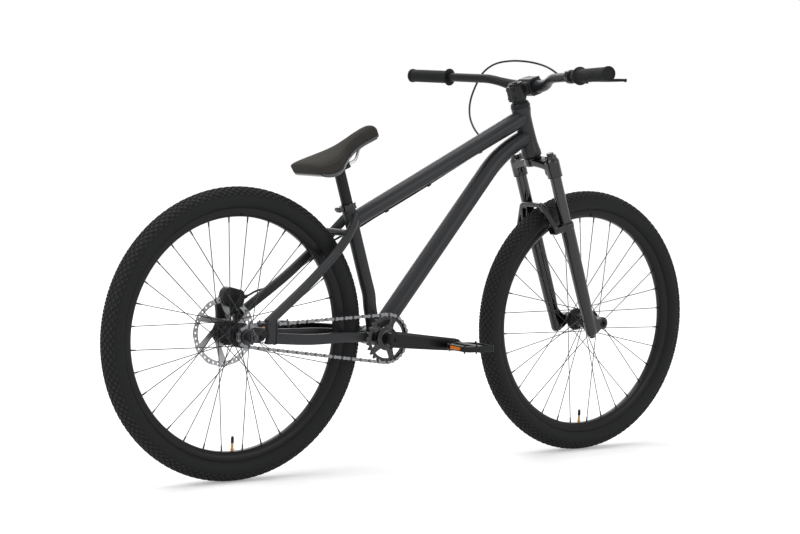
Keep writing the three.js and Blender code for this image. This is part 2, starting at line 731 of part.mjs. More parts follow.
// Seatpost: a plain tube with a two bolt cradle on top, whose grooves hold the saddle rails.
// The saddle's own frame runs forward along the rails and up from them
const postInsertion = 150;
const railRadius = 3.5;
const railSide = 22;
const saddleTilt = 24 * degrees;
const cradleSeatHeight = 400;
const cradleLength = 46;
const cradleNarrow = 20;
const cradleGrip = 30;
const cradleWidth = 58;
const cradleThickness = 8;
const cradleBoltPlace = 20;
const cradleBoltRadius = 2.6;
const cradleHeadRadius = 4.2;
const cradleHeadHeight = 5;
const saddleForward = v3(Math.cos(saddleTilt), 0, Math.sin(saddleTilt));
const saddleUp = v3(-Math.sin(saddleTilt), 0, Math.cos(saddleTilt));
const saddleMatrix = new THREE.Matrix4().makeBasis(saddleForward, v3(0, 1, 0), saddleUp)
  .setPosition(onSeatLine(cradleSeatHeight));

const seat = new THREE.Group();
bike.add(seat);

function railGrooves() {
  return [-1, 1].map((side) => roundBar(v3(-cradleLength, side * railSide, 0),
    v3(cradleLength, side * railSide, 0), clearOf(railRadius, 8), 8));
}

function cradleHalf(low) {
  const middle = low + cradleThickness / 2;
  return [block(0, 0, middle, cradleGrip, cradleWidth, cradleThickness),
    block(0, 0, middle, cradleLength, cradleNarrow, cradleThickness)];
}

function cradleBolts(radius, low, high) {
  return [-1, 1].map((end) => roundBar(v3(end * cradleBoltPlace, 0, low),
    v3(end * cradleBoltPlace, 0, high), radius, 7));
}

function seatpost() {
  const head = cut(join(...cradleHalf(-cradleThickness - seatGap / 2)), ...railGrooves(),
    ...cradleBolts(cradleBoltRadius + seatGap, -2 * cradleThickness, cradleThickness));
  const foot = onSeatLine(seatTubeTop).addScaledVector(seatUp, -postInsertion);
  const shaft = roundBar(foot, onSeatLine(cradleSeatHeight).addScaledVector(seatUp, cradleThickness),
    seatpostRadius, 12);
  const room = block(0, 0, cradleThickness * 2 - cradleThickness / 2, 2 * cradleLength, 2 * cradleWidth,
    cradleThickness * 4).applyMatrix4(saddleMatrix);
  return join(cut(shaft, room), head.applyMatrix4(saddleMatrix));
}

mesh(seat, 'seatpost', seatpost(), satinBlack);

function saddleClamp() {
  const lid = cut(join(...cradleHalf(seatGap / 2)), ...railGrooves());
  const under = -cradleThickness - 2 * seatGap;
  const shanks = cradleBolts(cradleBoltRadius, under - cradleHeadHeight, cradleThickness);
  const heads = cradleBolts(cradleHeadRadius, under - cradleHeadHeight, under);
  return join(lid, ...shanks, ...heads).applyMatrix4(saddleMatrix);
}

mesh(seat, 'saddle_clamp', saddleClamp(), satinBlack);

// Saddle: a padded cover with drawn-in sides over a moulded shell, on two steel rails that meet at the
// nose. The tables give places along the saddle, half widths, crown heights and skirt heights as shares
const saddleBack = -91;
const saddleNose = 130;
const saddleHalfWidth = 70;
const saddleCrown = 55;
const coverPadding = 13;
const coverSide = 5;
const shellThickness = 3;
const saddleSides = 16;
const waistShare = 0.12;
const shoulderShare = 0.62;
const alongShares = [0, 0.02, 0.08, 0.19, 0.3, 0.4, 0.5, 0.62, 0.76, 0.9, 0.96, 1];
const halfShares = [0.62, 0.84, 0.98, 1, 0.87, 0.66, 0.45, 0.32, 0.27, 0.25, 0.21, 0.09];
const crownShares = [0.64, 0.74, 0.775, 0.76, 0.75, 0.76, 0.8, 0.88, 0.97, 1, 0.92, 0.68];
const skirtShares = [0.42, 0.32, 0.13, 0, 0.05, 0.14, 0.24, 0.34, 0.39, 0.4, 0.41, 0.46];

function saddleTable(shares, share) {
  let k = 1;
  while (k < alongShares.length - 1 && alongShares[k] < share) k += 1;
  const span = alongShares[k] - alongShares[k - 1];
  const part = (share - alongShares[k - 1]) / span;
  return shares[k - 1] + (shares[k] - shares[k - 1]) * part;
}

function saddleSkin(inset, drop, under, places) {
  const rings = places.map((share) => {
    const x = saddleBack + (saddleNose - saddleBack) * share;
    const half = saddleTable(halfShares, share) * saddleHalfWidth - inset;
    const high = saddleTable(crownShares, share) * saddleCrown - drop;
    const skirt = saddleTable(skirtShares, share) * saddleCrown;
    const low = skirt - under;
    const shoulder = skirt + (high - skirt) * shoulderShare;
    return Array.from({ length: saddleSides }, (_, k) => {
      const angle = (k + 0.5) / saddleSides * fullTurn;
      const [c, s] = [Math.cos(angle), Math.sin(angle)];
      if (s >= 0) {
        const rise = (high - shoulder) * s ** 0.8;
        return v3(x, Math.sign(c) * Math.abs(c) ** 0.75 * half, shoulder + rise);
      }
      const waist = 1 - waistShare * Math.abs(s);
      const flat = Math.min(1, Math.abs(s) * 2.2);
      return v3(x, Math.sign(c) * Math.abs(c) ** 0.35 * half * waist, shoulder - (shoulder - low) * flat);
    });
  });
  return loft(rings);
}

const inner = (from, to, steps) => Array.from({ length: steps + 1 }, (_, k) => from + (to - from) * k / steps);
const shellStartShare = 0.045;
const shellEndShare = 0.94;
const shellEdgeShares = [0.048, 0.11, 0.19, 0.3, 0.45, 0.62, 0.937];
const hollow = saddleSkin(coverSide, coverPadding, cutOverrun,
  inner(shellStartShare, shellEndShare, 6));
mesh(seat, 'saddle_cover', cut(saddleSkin(0, 0, 0, alongShares), hollow).applyMatrix4(saddleMatrix), suede);

// Rails, as places along the saddle, to the side and up from the cradle
const railTail = -76;
const railTailSide = 30;
const railTailHeight = 23;
const railFlatBack = -42;
const railFlatHalf = 17;
const railFlatFront = 32;
const railRiseForward = 62;
const railRiseSide = 9.5;
const railRiseHeight = 16;
const railNose = 92;
const railNoseSide = 5.5;
const railNoseHeight = 29;

function saddleRails(radius) {
  const side = (sign) => [
    v3(railTail, sign * railTailSide, railTailHeight),
    v3((railTail + railFlatBack) / 2, sign * (railTailSide + railSide) / 2, railTailHeight / 4),
    v3(railFlatBack, sign * railSide, 0),
    v3(-railFlatHalf, sign * railSide, 0),
    v3(railFlatHalf, sign * railSide, 0),
    v3(railFlatFront, sign * railSide, 0),
    v3(railRiseForward, sign * railRiseSide, railRiseHeight),
    v3(railNose, sign * railNoseSide, railNoseHeight),
  ];
  const path = new THREE.CatmullRomCurve3([...side(1), ...side(-1).reverse()], false, 'centripetal');
  const steps = 22;
  const rings = [];
  for (let i = 0; i <= steps; i += 1) {
    const centre = path.getPointAt(i / steps);
    const along = path.getTangentAt(i / steps);
    const up = v3(0, 0, 1).addScaledVector(along, -along.z).normalize();
    const across = new THREE.Vector3().crossVectors(along, up);
    rings.push(circle(0, 0, radius, 6, Math.PI / 6).map(([a, b]) => centre.clone()
      .addScaledVector(across, a).addScaledVector(up, b)));
  }
  return loft(rings);
}

const shellOuter = common(saddleSkin(coverSide + seatGap, coverPadding + seatGap, cutOverrun,
  inner(shellStartShare, shellEndShare, 6)), saddleSkin(-seatGap, 0, -seatGap, shellEdgeShares));
const shellRearWallShare = 0.13;
const shellFrontWallShare = 0.8;
const shellInner = saddleSkin(coverSide + seatGap + shellThickness, coverPadding + seatGap + shellThickness,
  cutOverrun, inner(shellRearWallShare, shellFrontWallShare, 3));
mesh(seat, 'saddle_rails', saddleRails(railRadius).applyMatrix4(saddleMatrix), brightSteel);
mesh(seat, 'saddle_shell', cut(shellOuter, shellInner, saddleRails(railRadius + seatGap))
  .applyMatrix4(saddleMatrix), shellPlastic);

// Wheels: tyre, box rim and a hub laced with its spokes three-cross
const wheelSides = 32;
const rimLipHeight = 5.2;
const rimWall = 2.4;
const rimInner = beadSeatRadius - rimDepth + rimLipHeight;
const rimInnerHalf = 7;
const beadHalf = rimWidth / 2 - rimWall - seatGap;
const tyreHeight = tyreRadius - beadSeatRadius;
const tyreHeightShares = [0.34, 0.62, 0.9, 1];
const tyreHalfShares = [0.86, 1, 0.72, 0];

function tyre() {
  const half = tyreHeightShares.map((share, k) => [
    beadSeatRadius + tyreHeight * share, tyreWidth / 2 * tyreHalfShares[k]]);
  const bead = [[beadSeatRadius + seatGap, beadHalf], [beadSeatRadius + rimLipHeight, beadHalf]];
  const profile = [...bead, ...half];
  const other = profile.slice(0, -1).reverse().map(([r, y]) => [r, -y]);
  return turnedOnAxle([...profile, ...other, profile[0]], wheelSides);
}

function rim() {
  const outer = rimWidth / 2;
  const half = [
    [beadSeatRadius, outer - rimWall],
    [beadSeatRadius + rimLipHeight, outer - rimWall],
    [beadSeatRadius + rimLipHeight, outer],
    [rimInner, rimInnerHalf],
  ];
  const other = [...half].reverse().map(([r, y]) => [r, -y]);
  return turnedOnAxle([...half, ...other, half[0]], wheelSides);
}

const valveRadius = 3;
const valveReach = 34;

function rimWithValve() {
  const valve = roundBar(v3(0, 0, -rimInner - rimDepth / 4), v3(0, 0, -rimInner + valveReach),
    valveRadius, 6);
  return join(rim(), valve);
}

// Each flange holds half of the spokes. Those that lean forward run outside those that lean back, so
// that they pass each other where they cross
const hubFlangeRadius = 28;
const flangeThickness = 5;
const spokeHoleRadius = hubFlangeRadius - spokeDiameter;
const rimFlatRadius = rimInner * Math.cos(Math.PI / wheelSides);
const crossings = 3;

function spokes(flanges) {
  const perFlange = spokeCount / flanges.length;
  const step = fullTurn / perFlange;
  return flanges.flatMap((flange, side) => Array.from({ length: perFlange }, (_, k) => {
    const lean = k % 2 === 0 ? 1 : -1;
    const angle = (k + side / 2 + 0.25) * step;
    const rimAngle = angle + lean * crossings * step;
    const face = spokeDiameter / 2 + seatGap / 4;
    const start = v3(spokeHoleRadius * Math.cos(angle), flange + lean * Math.sign(flange) * face,
      spokeHoleRadius * Math.sin(angle));
    const reach = rimFlatRadius - seatGap;
    const end = v3(reach * Math.cos(rimAngle), Math.sign(flange) * (spokeDiameter + lean * face),
      reach * Math.sin(rimAngle));
    return roundBar(start, end, spokeDiameter / 2, 3);
  }));
}

function wheelGroup(parent, place) {
  const wheel = new THREE.Group();
  wheel.position.copy(place);
  parent.add(wheel);
  return wheel;
}

function hubShell({ bore, right, left, faceRight, faceLeft, barrel, endRight, endLeft }) {
  const half = flangeThickness / 2;
  return turnedOnAxle([
    [bore, faceRight], [endRight, faceRight], [endRight, right - half],
    [hubFlangeRadius, right - half], [hubFlangeRadius, right + half], [barrel, right + 4 * half],
    [barrel, left - 4 * half], [hubFlangeRadius, left - half], [hubFlangeRadius, left + half],
    [endLeft, left + half], [endLeft, faceLeft], [bore, faceLeft], [bore, faceRight],
  ], 10);
}

// Rear wheel
const rearWheel = wheelGroup(bike, rearAxle);
const rearAxleRadius = 5;
const rearBore = rearAxleRadius + runningGap;
const rearFlangeRight = -22;
const rearFlangeLeft = 32;
const rearBarrel = 18;
const driverRadius = 16;
const driverInner = 29;
const driverOuter = 59;
const rotorSpigot = 15;
const rotorFace = rotorPlane - rotorThickness / 2 - seatGap;
const rotorStep = 17;

mesh(rearWheel, 'rear_tyre', tyre(), tyreRubber);
mesh(rearWheel, 'rear_rim', rimWithValve(), satinBlack);
const rearShell = hubShell({ bore: rearBore, right: rearFlangeRight, left: rearFlangeLeft,
  faceRight: -driverInner + runningGap, faceLeft: rotorFace, barrel: rearBarrel, endRight: driverRadius,
  endLeft: rotorStep + driverRadius / 2 });
const rotorSleeve = turnedOnAxle([[rearBore, rotorFace - runningGap], [rotorSpigot, rotorFace - runningGap],
  [rotorSpigot, rotorPlane + rotorThickness * 2], [rearBore, rotorPlane + rotorThickness * 2],
  [rearBore, rotorFace - runningGap]], 10);
mesh(rearWheel, 'rear_hub', join(rearShell, rotorSleeve, ...spokes([rearFlangeRight, rearFlangeLeft])),
  satinBlack);

// Rear axle, held by the dropouts, with a spacer inside and a nut outside each of them
const axleOverhang = 16;
const nutRadius = 10.5;
const nutWidth = 8;
const spacerRadius = 9;
const tugThickness = 3;
const tugInside = dropoutInside + dropoutThickness + seatGap;
const nutInside = tugInside + tugThickness + seatGap;

function rearAxleSolid() {
  const end = dropoutInside + dropoutThickness + axleOverhang;
  const inside = dropoutInside - seatGap;
  const pieces = [roundBar(v3(0, -end, 0), v3(0, end, 0), rearAxleRadius, 8)];
  for (const [side, shoulder] of [[-1, driverOuter + runningGap],
    [1, rotorPlane + rotorThickness * 2 + runningGap]]) {
    pieces.push(roundBar(v3(0, side * shoulder, 0), v3(0, side * inside, 0), spacerRadius, 8));
    pieces.push(roundBar(v3(0, side * nutInside, 0), v3(0, side * (nutInside + nutWidth), 0), nutRadius, 6));
  }
  return join(...pieces).translate(rearAxle.x, rearAxle.y, rearAxle.z);
}

mesh(bike, 'rear_axle', rearAxleSolid(), darkSteel);

// Chain tugs: a plate under each nut, drawn back by a bolt at its front to set the chain tension
const tugHalfHeight = 11;
const tugReach = 30;
const tugBoltRadius = 4;
const tugOutlineShares = [[-0.4, -0.7], [-0.2, -1], [0.4, -1], [0.9, -0.7], [1, -0.3], [1, 0.3], [0.9, 0.7],
  [0.4, 1], [-0.2, 1], [-0.4, 0.7]];

function chainTug() {
  const outline = scaled(tugOutlineShares, tugReach, tugHalfHeight);
  const hole = circle(0, 0, clearOf(rearAxleRadius, 8), 8);
  const boltX = tugReach - 2 * tugBoltRadius;
  const bolt = roundBar(v3(boltX, tugInside, 0), v3(boltX, tugInside + 2 * tugThickness, 0),
    tugBoltRadius, 8);
  const nutRoom = roundBar(v3(0, nutInside - seatGap, 0), v3(0, nutInside + nutWidth, 0),
    clearOf(nutRadius, 8), 8);
  return join(sidePlate(outline, tugInside, tugThickness, [hole]), cut(bolt, nutRoom))
    .translate(rearAxle.x, rearAxle.y, rearAxle.z);
}

const leftTug = chainTug();
mesh(bike, 'chain_tensioner_left', leftTug, satinBlack);
mesh(bike, 'chain_tensioner_right', mirrored(leftTug), satinBlack);

// Brake rotor: wavy rim, slanted arms, and six bolts into the hub
const rotorWaves = 12;
const rotorWaveDepth = 2;
const rotorBand = 13;
const rotorArms = 6;
const rotorBoltCircle = 22;
const rotorBoltRadius = 3.2;
const rotorBoltHead = 0.3;
const rotorInnerBand = 8;
const rotorVentRadius = 2.4;
const armGapShare = 0.13;
const armLeanShare = 0.5;

function rotorOutline() {
  const steps = rotorWaves * 3;
  return Array.from({ length: steps }, (_, k) => {
    const angle = k / steps * fullTurn;
    const radius = rotorRadius - rotorWaveDepth * (1 - Math.cos(rotorWaves * angle)) / 2;
    return [radius * Math.cos(angle), radius * Math.sin(angle)];
  });
}

function rotorWindow(arm) {
  const span = fullTurn / rotorArms;
  const arc = (radius, lean, gap, steps) => Array.from({ length: steps + 1 }, (_, k) => {
    const angle = (arm + lean + gap + (1 - 2 * gap) * k / steps) * span;
    return [radius * Math.cos(angle), radius * Math.sin(angle)];
  });
  return [...arc(rotorRadius - rotorBand, armLeanShare, armGapShare, 3),
    ...arc(rotorBoltCircle + rotorInnerBand, 0, 2 * armGapShare, 2).reverse()];
}

function brakeRotor() {
  const holes = Array.from({ length: rotorArms }, (_, arm) => rotorWindow(arm));
  holes.push(circle(0, 0, clearOf(rotorSpigot, 12), 12));
  for (let k = 0; k < rotorWaves; k += 1) {
    const angle = k / rotorWaves * fullTurn;
    const radius = rotorRadius - rotorBand / 2;
    holes.push(circle(radius * Math.cos(angle), radius * Math.sin(angle), rotorVentRadius, 4));
  }
  const disk = sidePlate(rotorOutline(), rotorPlane - rotorThickness / 2, rotorThickness, holes);
  const bolts = circle(0, 0, rotorBoltCircle, rotorArms).map(([x, z]) => roundBar(
    v3(x, rotorPlane, z), v3(x, rotorPlane + rotorThickness / 2 + rotorBoltHead, z), rotorBoltRadius, 4));
  return join(disk, ...bolts);
}

mesh(rearWheel, 'brake_rotor', brakeRotor(), brightSteel);

// Brake caliper: a two piston body astride the rotor, bolted to the lugs of the left dropout
const padThickness = 3.4;
const padGap = 0.6;
const padInner = rotorRadius - rotorBand;
const padHeight = 15;
const padHalf = 14;
const padPlay = 0.4;
const padFace = rotorThickness / 2 + padGap;
const slotHalf = padFace + padThickness + padPlay;
const bridgeInside = padInner + padHeight + padPlay;
const pistonRadius = 12;
const pistonReach = 3;
const caliperEdgeShares = [[0, 0.62], [0.25, 1], [0.7, 1], [1, 0.55], [1, -0.55], [0.7, -1], [0.25, -1],
  [0, -0.62]];
const banjoRadius = 4.4;
const banjoLength = 14;

function brakeCaliper() {
  const height = caliperOuter - caliperInner;
  const outline = scaled(caliperEdgeShares, height, caliperHalf).map(([x, z]) => [x + caliperInner, z]);
  const body = sidePlate(outline, -caliperRight, caliperRight + caliperLeft);
  const middle = (caliperInner + caliperOuter) / 2;
  const caps = [[-1, caliperRight], [1, caliperLeft]].map(([side, face]) => roundBar(
    v3(middle, 0, 0), v3(middle, side * (face + pistonReach), 0), pistonRadius, 10));
  const slot = block((bridgeInside + caliperInner) / 2 - cutOverrun, 0, 0,
    bridgeInside - caliperInner + 2 * cutOverrun, 2 * (padFace + padThickness), 4 * caliperHalf);
  const padRoom = block((bridgeInside + padInner) / 2, 0, 0, bridgeInside - padInner, 2 * slotHalf,
    2 * (padHalf + padPlay));
  const feet = [-1, 1].map((end) => {
    const place = end * mountSpacing / 2;
    return join(roundBar(v3(mountRadius, caliperLeft - mountThickness, place),
      v3(mountRadius, caliperLeft, place), mountLugRadius, 8),
    roundBar(v3(mountRadius, caliperLeft - mountThickness, place),
      v3(mountRadius, mountInside + mountThickness + seatGap, place), mountBoltRadius, 6),
    roundBar(v3(mountRadius, mountInside + mountThickness + seatGap, place),
      v3(mountRadius, mountInside + 1.6 * mountThickness, place), 1.8 * mountBoltRadius, 6));
  });
  const shell = cut(join(body, ...caps), slot, padRoom);
  return join(shell, ...feet).applyMatrix4(caliperMatrix);
}

// The hose screws into the front of the caliper through a short fitting
const hoseEnd = v3(...hoseOnFrame[hoseOnFrame.length - 1]);
const hoseEndAlong = hosePath(hoseOnFrame).getTangentAt(1);
const banjoStart = hoseEnd.clone().addScaledVector(hoseEndAlong, seatGap);
const banjo = roundBar(banjoStart, banjoStart.clone().addScaledVector(hoseEndAlong, banjoLength),
  banjoRadius, 10);
mesh(bike, 'brake_caliper', join(brakeCaliper(), banjo), glossBlack);

function brakePad(side) {
  const low = side > 0 ? padFace : -padFace - padThickness;
  return block(padInner + padHeight / 2, low + padThickness / 2, 0, padHeight, padThickness, 2 * padHalf)
    .applyMatrix4(caliperMatrix);
}

mesh(bike, 'brake_pad_outboard', brakePad(1), darkSteel);
mesh(bike, 'brake_pad_inboard', brakePad(-1), darkSteel);

// Toothed wheels: the valley between two teeth clears a chain roller
const rollerRadius = 3.3;
const toothThickness = 2.6;
const toothTipHalf = 1.1;
const toothTipRise = 2.6;
const valleyHalf = 2.6;
const valleyDrop = rollerRadius + 3 * seatGap;

function toothedOutline(teeth, pitchRadius, phase) {
  const step = fullTurn / teeth;
  const tip = pitchRadius + toothTipRise;
  const root = pitchRadius - valleyDrop;
  const rootHalf = step / 2 - valleyHalf / root;
  const tipHalf = toothTipHalf / tip;
  return Array.from({ length: teeth }, (_, k) => phase + (k + 0.5) * step).flatMap((middle) => [
    [root, middle - rootHalf], [tip, middle - tipHalf], [tip, middle + tipHalf], [root, middle + rootHalf],
  ].map(([radius, angle]) => [radius * Math.cos(angle), radius * Math.sin(angle)]));
}

// The chain's path in the side view, as pin places one pitch apart round both toothed wheels. It is
// worked out in a frame whose x runs from the ring to the cog, then turned into place
const ringStep = fullTurn / ringTeeth;
const cogStep = fullTurn / cogTeeth;
const tangentAngle = Math.acos((ringPitchRadius - cogPitchRadius) / chainCentres);
const chainRun = Math.sqrt(chainCentres ** 2 - (ringPitchRadius - cogPitchRadius) ** 2);
const driveSlope = Math.atan2(rearAxle.z, rearAxle.x);
const linksOnRing = (fullTurn - 2 * tangentAngle) / ringStep;
const linksOnRun = chainRun / chainPitch;
const linksOnCog = 2 * tangentAngle / cogStep;
const ringPhase = tangentAngle + driveSlope;
const firstOnCog = Math.ceil(linksOnRing + linksOnRun);
const cogPhase = (firstOnCog - linksOnRing - linksOnRun) * cogStep - tangentAngle + driveSlope;

function pinPlace(link) {
  const round = (centre, radius, angle) => [centre + radius * Math.cos(angle), radius * Math.sin(angle)];
  const ringEnd = (side) => round(0, ringPitchRadius, side * tangentAngle);
  const cogEnd = (side) => round(chainCentres, cogPitchRadius, side * tangentAngle);
  const between = (from, to, share) => from.map((value, k) => value + (to[k] - value) * share);
  if (link < linksOnRing) return round(0, ringPitchRadius, tangentAngle + link * ringStep);
  const pastRing = link - linksOnRing;
  if (pastRing < linksOnRun) return between(ringEnd(-1), cogEnd(-1), pastRing / linksOnRun);
  const pastRun = pastRing - linksOnRun;
  if (pastRun < linksOnCog) return round(chainCentres, cogPitchRadius, pastRun * cogStep - tangentAngle);
  return between(cogEnd(1), ringEnd(1), (pastRun - linksOnCog) / linksOnRun);
}

const pins = Array.from({ length: chainLinks }, (_, link) => {
  const [x, z] = pinPlace(link);
  const [c, s] = [Math.cos(driveSlope), Math.sin(driveSlope)];
  return [x * c - z * s, x * s + z * c];
});

// Chain: narrow and wide links in turn
const innerWidth = 3.4;
const plateThickness = 1;
const plateRadius = 4.2;
const slotStartShare = 0.24;
const plateShares = [[-1, 0, -1], [1, 0, -1], [1, 0.9, 0], [1, 0, 1], [-1, 0, 1], [-1, -0.9, 0]];

function chainPlate(from, to, low, thickness, radius) {
  const along = [to[0] - from[0], to[1] - from[1]];
  const length = Math.hypot(...along);
  const [c, s] = [along[0] / length, along[1] / length];
  const outline = plateShares.map(([end, a, b]) => [end * length / 2 + a * radius, b * radius]);
  const middle = [(from[0] + to[0]) / 2, (from[1] + to[1]) / 2];
  const placed = outline.map(([a, b]) => [middle[0] + a * c - b * s, middle[1] + a * s + b * c]);
  return toSolid(sidePlate(placed, low, thickness));
}

// A narrow link is cut from one block: its two ends are the rollers, and a tooth fits between them
function narrowLink(from, to) {
  const half = innerWidth / 2 + plateThickness;
  const [x, z] = [(from[0] + to[0]) / 2, (from[1] + to[1]) / 2];
  const slot = block(0, 0, 0, chainPitch * (1 - 2 * slotStartShare), innerWidth, 4 * rollerRadius)
    .rotateY(-Math.atan2(to[1] - from[1], to[0] - from[0])).translate(x, 0, z);
  return chainPlate(from, to, -half, 2 * half, rollerRadius).subtract(toSolid(slot));
}

function chain() {
  const solids = pins.flatMap((pin, link) => {
    const next = pins[(link + 1) % pins.length];
    if (link % 2 === 0) return [narrowLink(pin, next)];
    const inside = innerWidth / 2 + plateThickness;
    return [inside, -inside - plateThickness].map((low) => chainPlate(pin, next, low, plateThickness,
      plateRadius));
  });
  return fromSolid(wasm.Manifold.union(solids)).translate(0, -chainLine, 0);
}

mesh(bike, 'chain', chain(), darkSteel);

// Rear cog on its driver, which turns with the chain while the hub runs free ahead of it
const driver = turnedOnAxle([[rearBore, -driverOuter], [driverRadius, -driverOuter],
  [driverRadius, -driverInner], [rearBore, -driverInner], [rearBore, -driverOuter]], 10);
const cogTeethPlate = sidePlate(toothedOutline(cogTeeth, cogPitchRadius, cogPhase),
  -chainLine - toothThickness / 2, toothThickness, [circle(0, 0, rearBore + 4 * runningGap, 8)]);
mesh(rearWheel, 'rear_cog', join(driver, cogTeethPlate), darkSteel);

// Crankset: a toothed ring with five windows on the right arm's boss, two forged arms and their axle
const crank = new THREE.Group();
bike.add(crank);
const crankTurn = 5.5 * degrees;
const ringWindows = 5;
const ringHubRadius = 24;
const ringBand = 9;
const ringHubInner = 43.5;
const ringHubOuter = 57;
const ringDishRadius = 33;
const windowGapShare = 0.12;
const crankBore = clearOf(axleRadius, 12);

function ringWindow(k) {
  const span = fullTurn / ringWindows;
  const arc = (radius, gap, steps) => Array.from({ length: steps + 1 }, (_, step) => {
    const angle = (k + gap + (1 - 2 * gap) * step / steps) * span;
    return [radius * Math.cos(angle), radius * Math.sin(angle)];
  });
  return [...arc(ringPitchRadius - valleyDrop - ringBand, windowGapShare, 3),
    ...arc(ringDishRadius, 2 * windowGapShare, 2).reverse()];
}

function chainring() {
  const windows = Array.from({ length: ringWindows }, (_, k) => ringWindow(k));
  const disk = sidePlate(toothedOutline(ringTeeth, ringPitchRadius, ringPhase),
    -chainLine - toothThickness / 2, toothThickness, [...windows, circle(0, 0, ringHubRadius * 0.8, 10)]);
  const dish = turnedOnAxle([
    [crankBore, -ringHubOuter], [ringHubRadius, -ringHubOuter],
    [ringDishRadius, -chainLine - toothThickness / 2], [ringDishRadius, -chainLine + toothThickness / 2],
    [ringHubRadius, -ringHubInner], [crankBore, -ringHubInner], [crankBore, -ringHubOuter]], 12);
  return join(disk, dish);
}

mesh(crank, 'chainring', chainring(), satinBlack);

const bossRadius = 18;
const bossOuter = 79;
const bossInner = ringHubOuter + seatGap;
const armRootHigh = 17;
const armEyeHigh = 12;
const armHalfThick = 7;
const armSquareness = 0.45;
const eyeSide = 87;
const eyeRadius = 14;
const armRootSide = 71;
const pedalThreadRadius = 7;
const collarRadius = 15;
const leftArmInner = shellHalfWidth + bracketCupWidth + 3 * seatGap;

function crankArm() {
  const path = new THREE.CatmullRomCurve3([
    v3(0, armRootSide, 0), v3(crankLength / 3, (armRootSide + eyeSide) / 2, 0),
    v3(crankLength * 2 / 3, eyeSide, 0), v3(crankLength, eyeSide, 0)]);
  const arm = sweep(path, 4, 10, (share) => ({
    wide: armHalfThick, high: armRootHigh + (armEyeHigh - armRootHigh) * share, square: armSquareness }));
  const eye = roundBar(v3(crankLength, eyeSide - armHalfThick, 0), v3(crankLength, eyeSide + armHalfThick, 0),
    eyeRadius, 10);
  const eyeBore = roundBar(v3(crankLength, eyeSide - 2 * armHalfThick, 0),
    v3(crankLength, eyeSide + 2 * armHalfThick, 0), clearOf(pedalThreadRadius, 8), 8);
  const boss = roundBar(v3(0, bossInner, 0), v3(0, bossOuter, 0), bossRadius, 12);
  const bore = roundBar(v3(0, 0, 0), v3(0, 2 * bossOuter, 0), crankBore, 12);
  const boltRoom = roundBar(v3(0, bossOuter, 0), v3(0, 2 * bossOuter, 0), bossRadius, 12);
  return cut(join(arm, eye, boss), bore, eyeBore, boltRoom);
}

const arm = crankArm();
mesh(crank, 'crank_arm_right', mirrored(arm).rotateY(crankTurn), glossBlack);
const preload = washer(crankBore, collarRadius, leftArmInner, bossInner + seatGap, 12).rotateX(-Math.PI / 2);
mesh(crank, 'crank_arm_left', join(arm.clone().scale(-1, 1, 1), preload).rotateY(crankTurn), glossBlack);

const crankBoltRadius = 15;
const crankBoltHead = 2.5;
const crankBoltRecess = 5;
const boltFace = bossOuter + seatGap;

function crankAxle() {
  const end = boltFace + crankBoltHead;
  const shaft = roundBar(v3(0, -end, 0), v3(0, end, 0), axleRadius, 12);
  const heads = [-1, 1].map((side) => roundBar(v3(0, side * boltFace, 0), v3(0, side * end, 0),
    crankBoltRadius, 12));
  const recesses = [-1, 1].map((side) => roundBar(v3(0, side * (end - crankBoltRecess), 0),
    v3(0, side * (end + cutOverrun), 0), crankBoltRadius / 3, 6));
  return cut(join(shaft, ...heads), ...recesses);
}

mesh(crank, 'crank_axle', crankAxle(), satinBlack);

// Pedals: a pinned alloy platform with two windows, on an axle that screws into the arm's eye
const pedalLength = 90;
const pedalWidth = 92;
const pedalThickness = 14;
const pedalInside = 98;
const pedalFrame = 11;
const barrelRadius = 9;
const pedalAxleRadius = 5;
const pinRadius = 1.8;
const pinHeight = 4;
const reflectorWidth = 38;
const reflectorHeight = 9;
const reflectorDepth = 4;
const pedalOutlineShares = [[-0.34, 0], [0.34, 0], [0.5, 0.16], [0.5, 0.86], [0.38, 1], [-0.38, 1],
  [-0.5, 0.86], [-0.5, 0.16]];
const pinShares = [[-0.43, 0.2], [-0.43, 0.82], [0.43, 0.2], [0.43, 0.82], [-0.14, 0.94], [0.14, 0.94]];
const pedalEyeFace = eyeSide + armHalfThick + seatGap;

function pedalBody() {
  const outline = scaled(pedalOutlineShares, pedalLength, pedalWidth)
    .map(([x, y]) => [x, y + pedalInside]);
  const window = (side) => [[side * barrelRadius, pedalInside + pedalFrame],
    [side * (pedalLength / 2 - pedalFrame), pedalInside + pedalFrame + barrelRadius],
    [side * (pedalLength / 2 - pedalFrame), pedalInside + pedalWidth - pedalFrame - barrelRadius / 2],
    [side * barrelRadius, pedalInside + pedalWidth - pedalFrame]];
  const cage = plate(outline, pedalThickness, [window(-1), window(1)]).translate(0, 0, -pedalThickness / 2);
  const barrel = roundBar(v3(0, pedalInside, 0), v3(0, pedalInside + pedalWidth, 0), barrelRadius, 8);
  const studs = pinShares.map(([a, b]) => {
    const reach = pedalThickness / 2 + pinHeight;
    const [x, y] = [a * pedalLength, pedalInside + b * pedalWidth];
    return roundBar(v3(x, y, -reach), v3(x, y, reach), pinRadius, 4);
  });
  const lamps = [-1, 1].map((side) => block(side * (pedalLength / 2), pedalInside + pedalWidth / 2, 0,
    2 * reflectorDepth, reflectorWidth, reflectorHeight));
  const bore = roundBar(v3(0, 0, 0), v3(0, pedalInside + pedalWidth - pedalFrame, 0),
    clearOf(pedalAxleRadius, 8), 8);
  return cut(join(cage, barrel, ...studs, ...lamps), bore);
}

function pedalAxle() {
  const inside = eyeSide - armHalfThick;
  const collarFace = pedalInside - seatGap;
  return join(
    roundBar(v3(0, inside, 0), v3(0, pedalEyeFace, 0), pedalThreadRadius, 8),
    roundBar(v3(0, pedalEyeFace, 0), v3(0, collarFace, 0), barrelRadius, 8),
    roundBar(v3(0, inside, 0), v3(0, pedalInside + pedalWidth - pedalFrame - seatGap, 0),
      pedalAxleRadius, 8));
}

